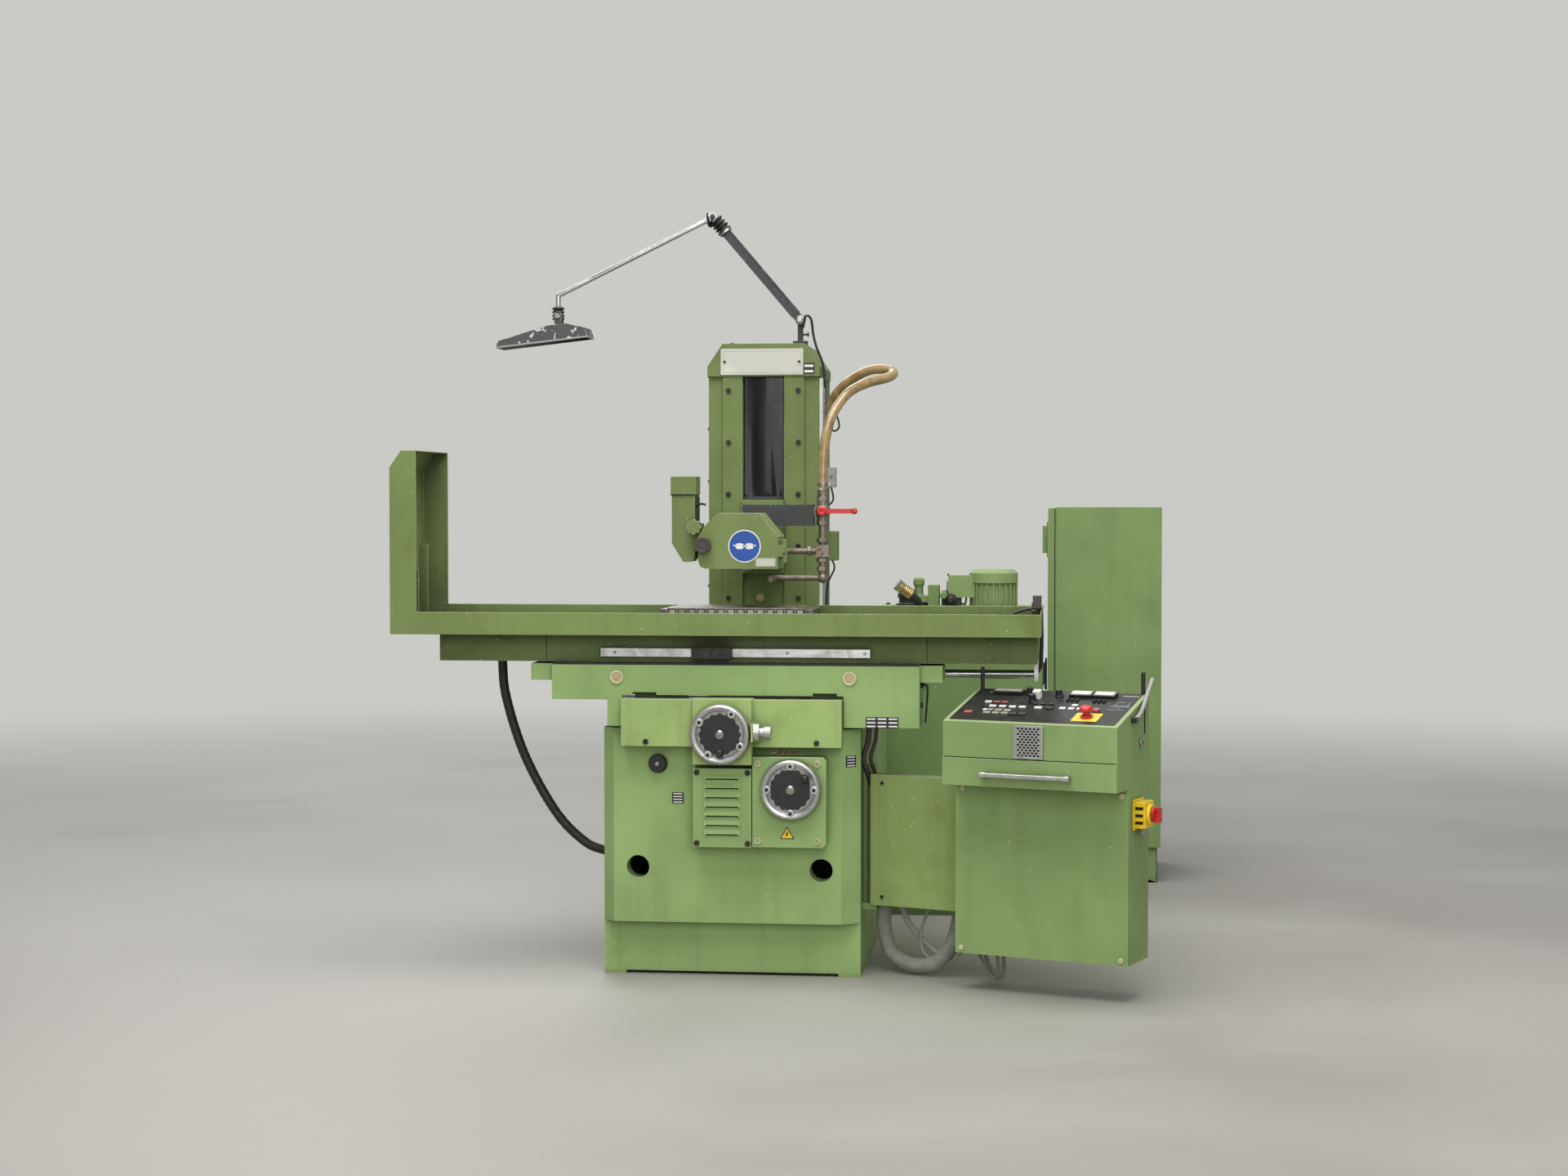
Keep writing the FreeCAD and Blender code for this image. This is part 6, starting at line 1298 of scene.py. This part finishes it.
def dress_cabinet():
    """Seam, door handle, lock and press line, plinth, roof bolts and louvres of the cabinet."""
    shell, door = BOX["cabinet_shell"], BOX["cabinet_door"]
    seam = block((shell.left + 15, shell.front - 0.8, door.low),
                 (shell.left + 18, shell.front + 2, door.top))
    piece("cabinet_seam", "base", "hollow_black", seam, edge=0)
    handle = at("left", door.left + 18, shell.front + 52, 760)
    lever = joined(prism(rounded(26, 118, 8), 8), prism(rounded(18, 86, 7), 16, 8))
    piece("door_handle", "cabinet_door", "black_plastic", put(lever, handle), edge=1.5)
    turned("door_lock", "cabinet_door", "machined_steel", [(9, 0), (9, 3), (5, 3), (4, 2), (0, 2)],
           24, handle @ move(0, -44, 8), edge=0.3)
    width, height = door.back - door.front, door.top - door.low
    trim = sheet([rounded(width - 60, height - 60, 6), rounded(width - 70, height - 70, 4)], 1.2)
    piece("door_press_line", "cabinet_door", "cabinet_paint",
          put(trim, at("left", shell.left, door.y, door.z)))
    front, low, top = shell.front + 12, 0.5, 126
    piece("plinth_skirt", "base", "dark_paint",
          block((shell.left + 34, front, low), (shell.right - 12, front + 3, top)),
          block((shell.right - 15, front, low), (shell.right - 12, shell.back - 12, top)), edge=0.6)
    turned("roof_bolts", "base", "cabinet_paint", [(12, 0), (12, 9), (9, 11), (0, 11)], 20,
           *[move(x, y, shell.top - 11) for x in (shell.left + 60, shell.right - 40)
             for y in (shell.front + 40, shell.back - 40)], edge=0.6)
    louvres = [slabs((shell.right, shell.y, z), (-1, -150, 0), (1.5, 150, 6))[0]
               for z in range(1180, 1300, 20)]
    piece("cabinet_louvres", "base", "cabinet_paint", *louvres, edge=0.8)


# ---------------------------------------------------------------- stage, light and camera


BACKGROUND = colour(202, 203, 198)
LIGHTS = (
    ("roof_light", (0.2, -1.4, 6.2), (0.2, 0.2, 0.0), 5.0, 460),
    ("front_light", (1.2, -7.0, 3.2), (0.2, 0.0, 0.6), 4.5, 200),
    ("back_light", (-2.5, 6.5, 5.0), (0.3, 0.8, 0.8), 5.0, 220),
)


def lay_floor():
    """A pale floor that fades into the background."""
    paint = Paint("floor_paint")
    cloud = paint.noise(1500, 6, warp=0.4)
    fleck = paint.noise(60, 5)
    shade = paint.coat(
        colour(146, 142, 134),
        (paint.band(cloud, 0.3, 0.7), colour(158, 155, 148)),
        (paint.band(fleck, 0.6, 0.8, 0.25), colour(128, 124, 114)),
    )
    gloss = paint.maths("ADD", paint.band(cloud, 0.3, 0.7, 0.2), 0.5)
    floor_paint = paint.finish(shade, gloss, fleck, 0.3)
    away = paint.node("VectorMath", {0: paint.place}, operation="LENGTH").outputs["Value"]
    haze = paint.node("Emission", {"Color": BACKGROUND})
    near = paint.tree.nodes["Principled BSDF"]
    blend = paint.node("MixShader", {0: paint.band(away, 3.2, 11.0), 1: near.outputs[0],
                                     2: haze.outputs[0]})
    surface = paint.tree.nodes["Material Output"].inputs["Surface"]
    paint.tree.links.new(blend.outputs[0], surface)
    reach = 60.0
    mesh = bpy.data.meshes.new("floor")
    corners = [(-reach, -reach, 0), (reach, -reach, 0), (reach, reach, 0), (-reach, reach, 0)]
    mesh.from_pydata(corners, [], [(0, 1, 2, 3)])
    mesh.materials.append(floor_paint)
    floor = bpy.data.objects.new("floor", mesh)
    link(floor)


def set_light():
    """An even pale background and three soft lights."""
    world = bpy.data.worlds.new("hall")
    bpy.context.scene.world = world
    world.use_nodes = True
    tree = world.node_tree
    shown, lit = tree.nodes["Background"], tree.nodes.new("ShaderNodeBackground")
    shown.inputs["Color"].default_value = BACKGROUND
    lit.inputs["Color"].default_value = (0.93, 0.97, 1.0, 1.0)
    lit.inputs["Strength"].default_value = 0.36
    seen = tree.nodes.new("ShaderNodeLightPath")
    pick = tree.nodes.new("ShaderNodeMixShader")
    tree.links.new(seen.outputs["Is Camera Ray"], pick.inputs[0])
    tree.links.new(lit.outputs[0], pick.inputs[1])
    tree.links.new(shown.outputs[0], pick.inputs[2])
    tree.links.new(pick.outputs[0], tree.nodes["World Output"].inputs["Surface"])
    for name, spot, aim, size, energy in LIGHTS:
        lamp = bpy.data.lights.new(name, "AREA")
        lamp.size = size
        lamp.energy = energy
        holder = bpy.data.objects.new(name, lamp)
        holder.location = spot
        facing = (Vector(aim) - Vector(spot)).to_track_quat("-Z", "Y")
        holder.rotation_euler = facing.to_euler()
        link(holder)
    bpy.context.scene.view_settings.view_transform = "Standard"


def set_camera():
    """The camera stands in front of the machine, a little to its right, at chest height."""
    data = bpy.data.cameras.new("camera")
    data.sensor_width = 36.0
    data.lens = 59.9
    data.clip_end = 200.0
    camera = bpy.data.objects.new("camera", data)
    camera.location = Vector((968.0, -7589.1, 1397.7)) * METRE
    pitch, yaw = 1.92, 6.23
    camera.rotation_euler = (math.radians(90 - pitch), 0.0, math.radians(yaw))
    link(camera)
    bpy.context.scene.camera = camera


# ---------------------------------------------------------------- the whole machine


for finish_name, nodes in NODE_FINISH.items():
    for node in nodes.split():
        part = frame["nodes"][node]
        part.data.materials.clear()
        part.data.materials.append(FINISH[finish_name])
        if finish_name != "chrome":
            thin = BOX[node].top - BOX[node].low < THIN_PART
            soften(part, FINE_EDGE if thin else COARSE_EDGE)

dress_base()
dress_handwheel("vertical_handwheel", "vertical_crank", 60)
dress_handwheel("cross_handwheel", "cross_crank", 0)
for dress in (dress_saddle, dress_table, hang_table_hoses, dress_column, hang_column_cover,
              dress_head, dress_coolant, dress_lamp, dress_panel, dress_console,
              hang_console_hoses, dress_hydraulics, dress_cabinet, lay_floor, set_light,
              set_camera):
    dress()

bpy.context.view_layer.update()
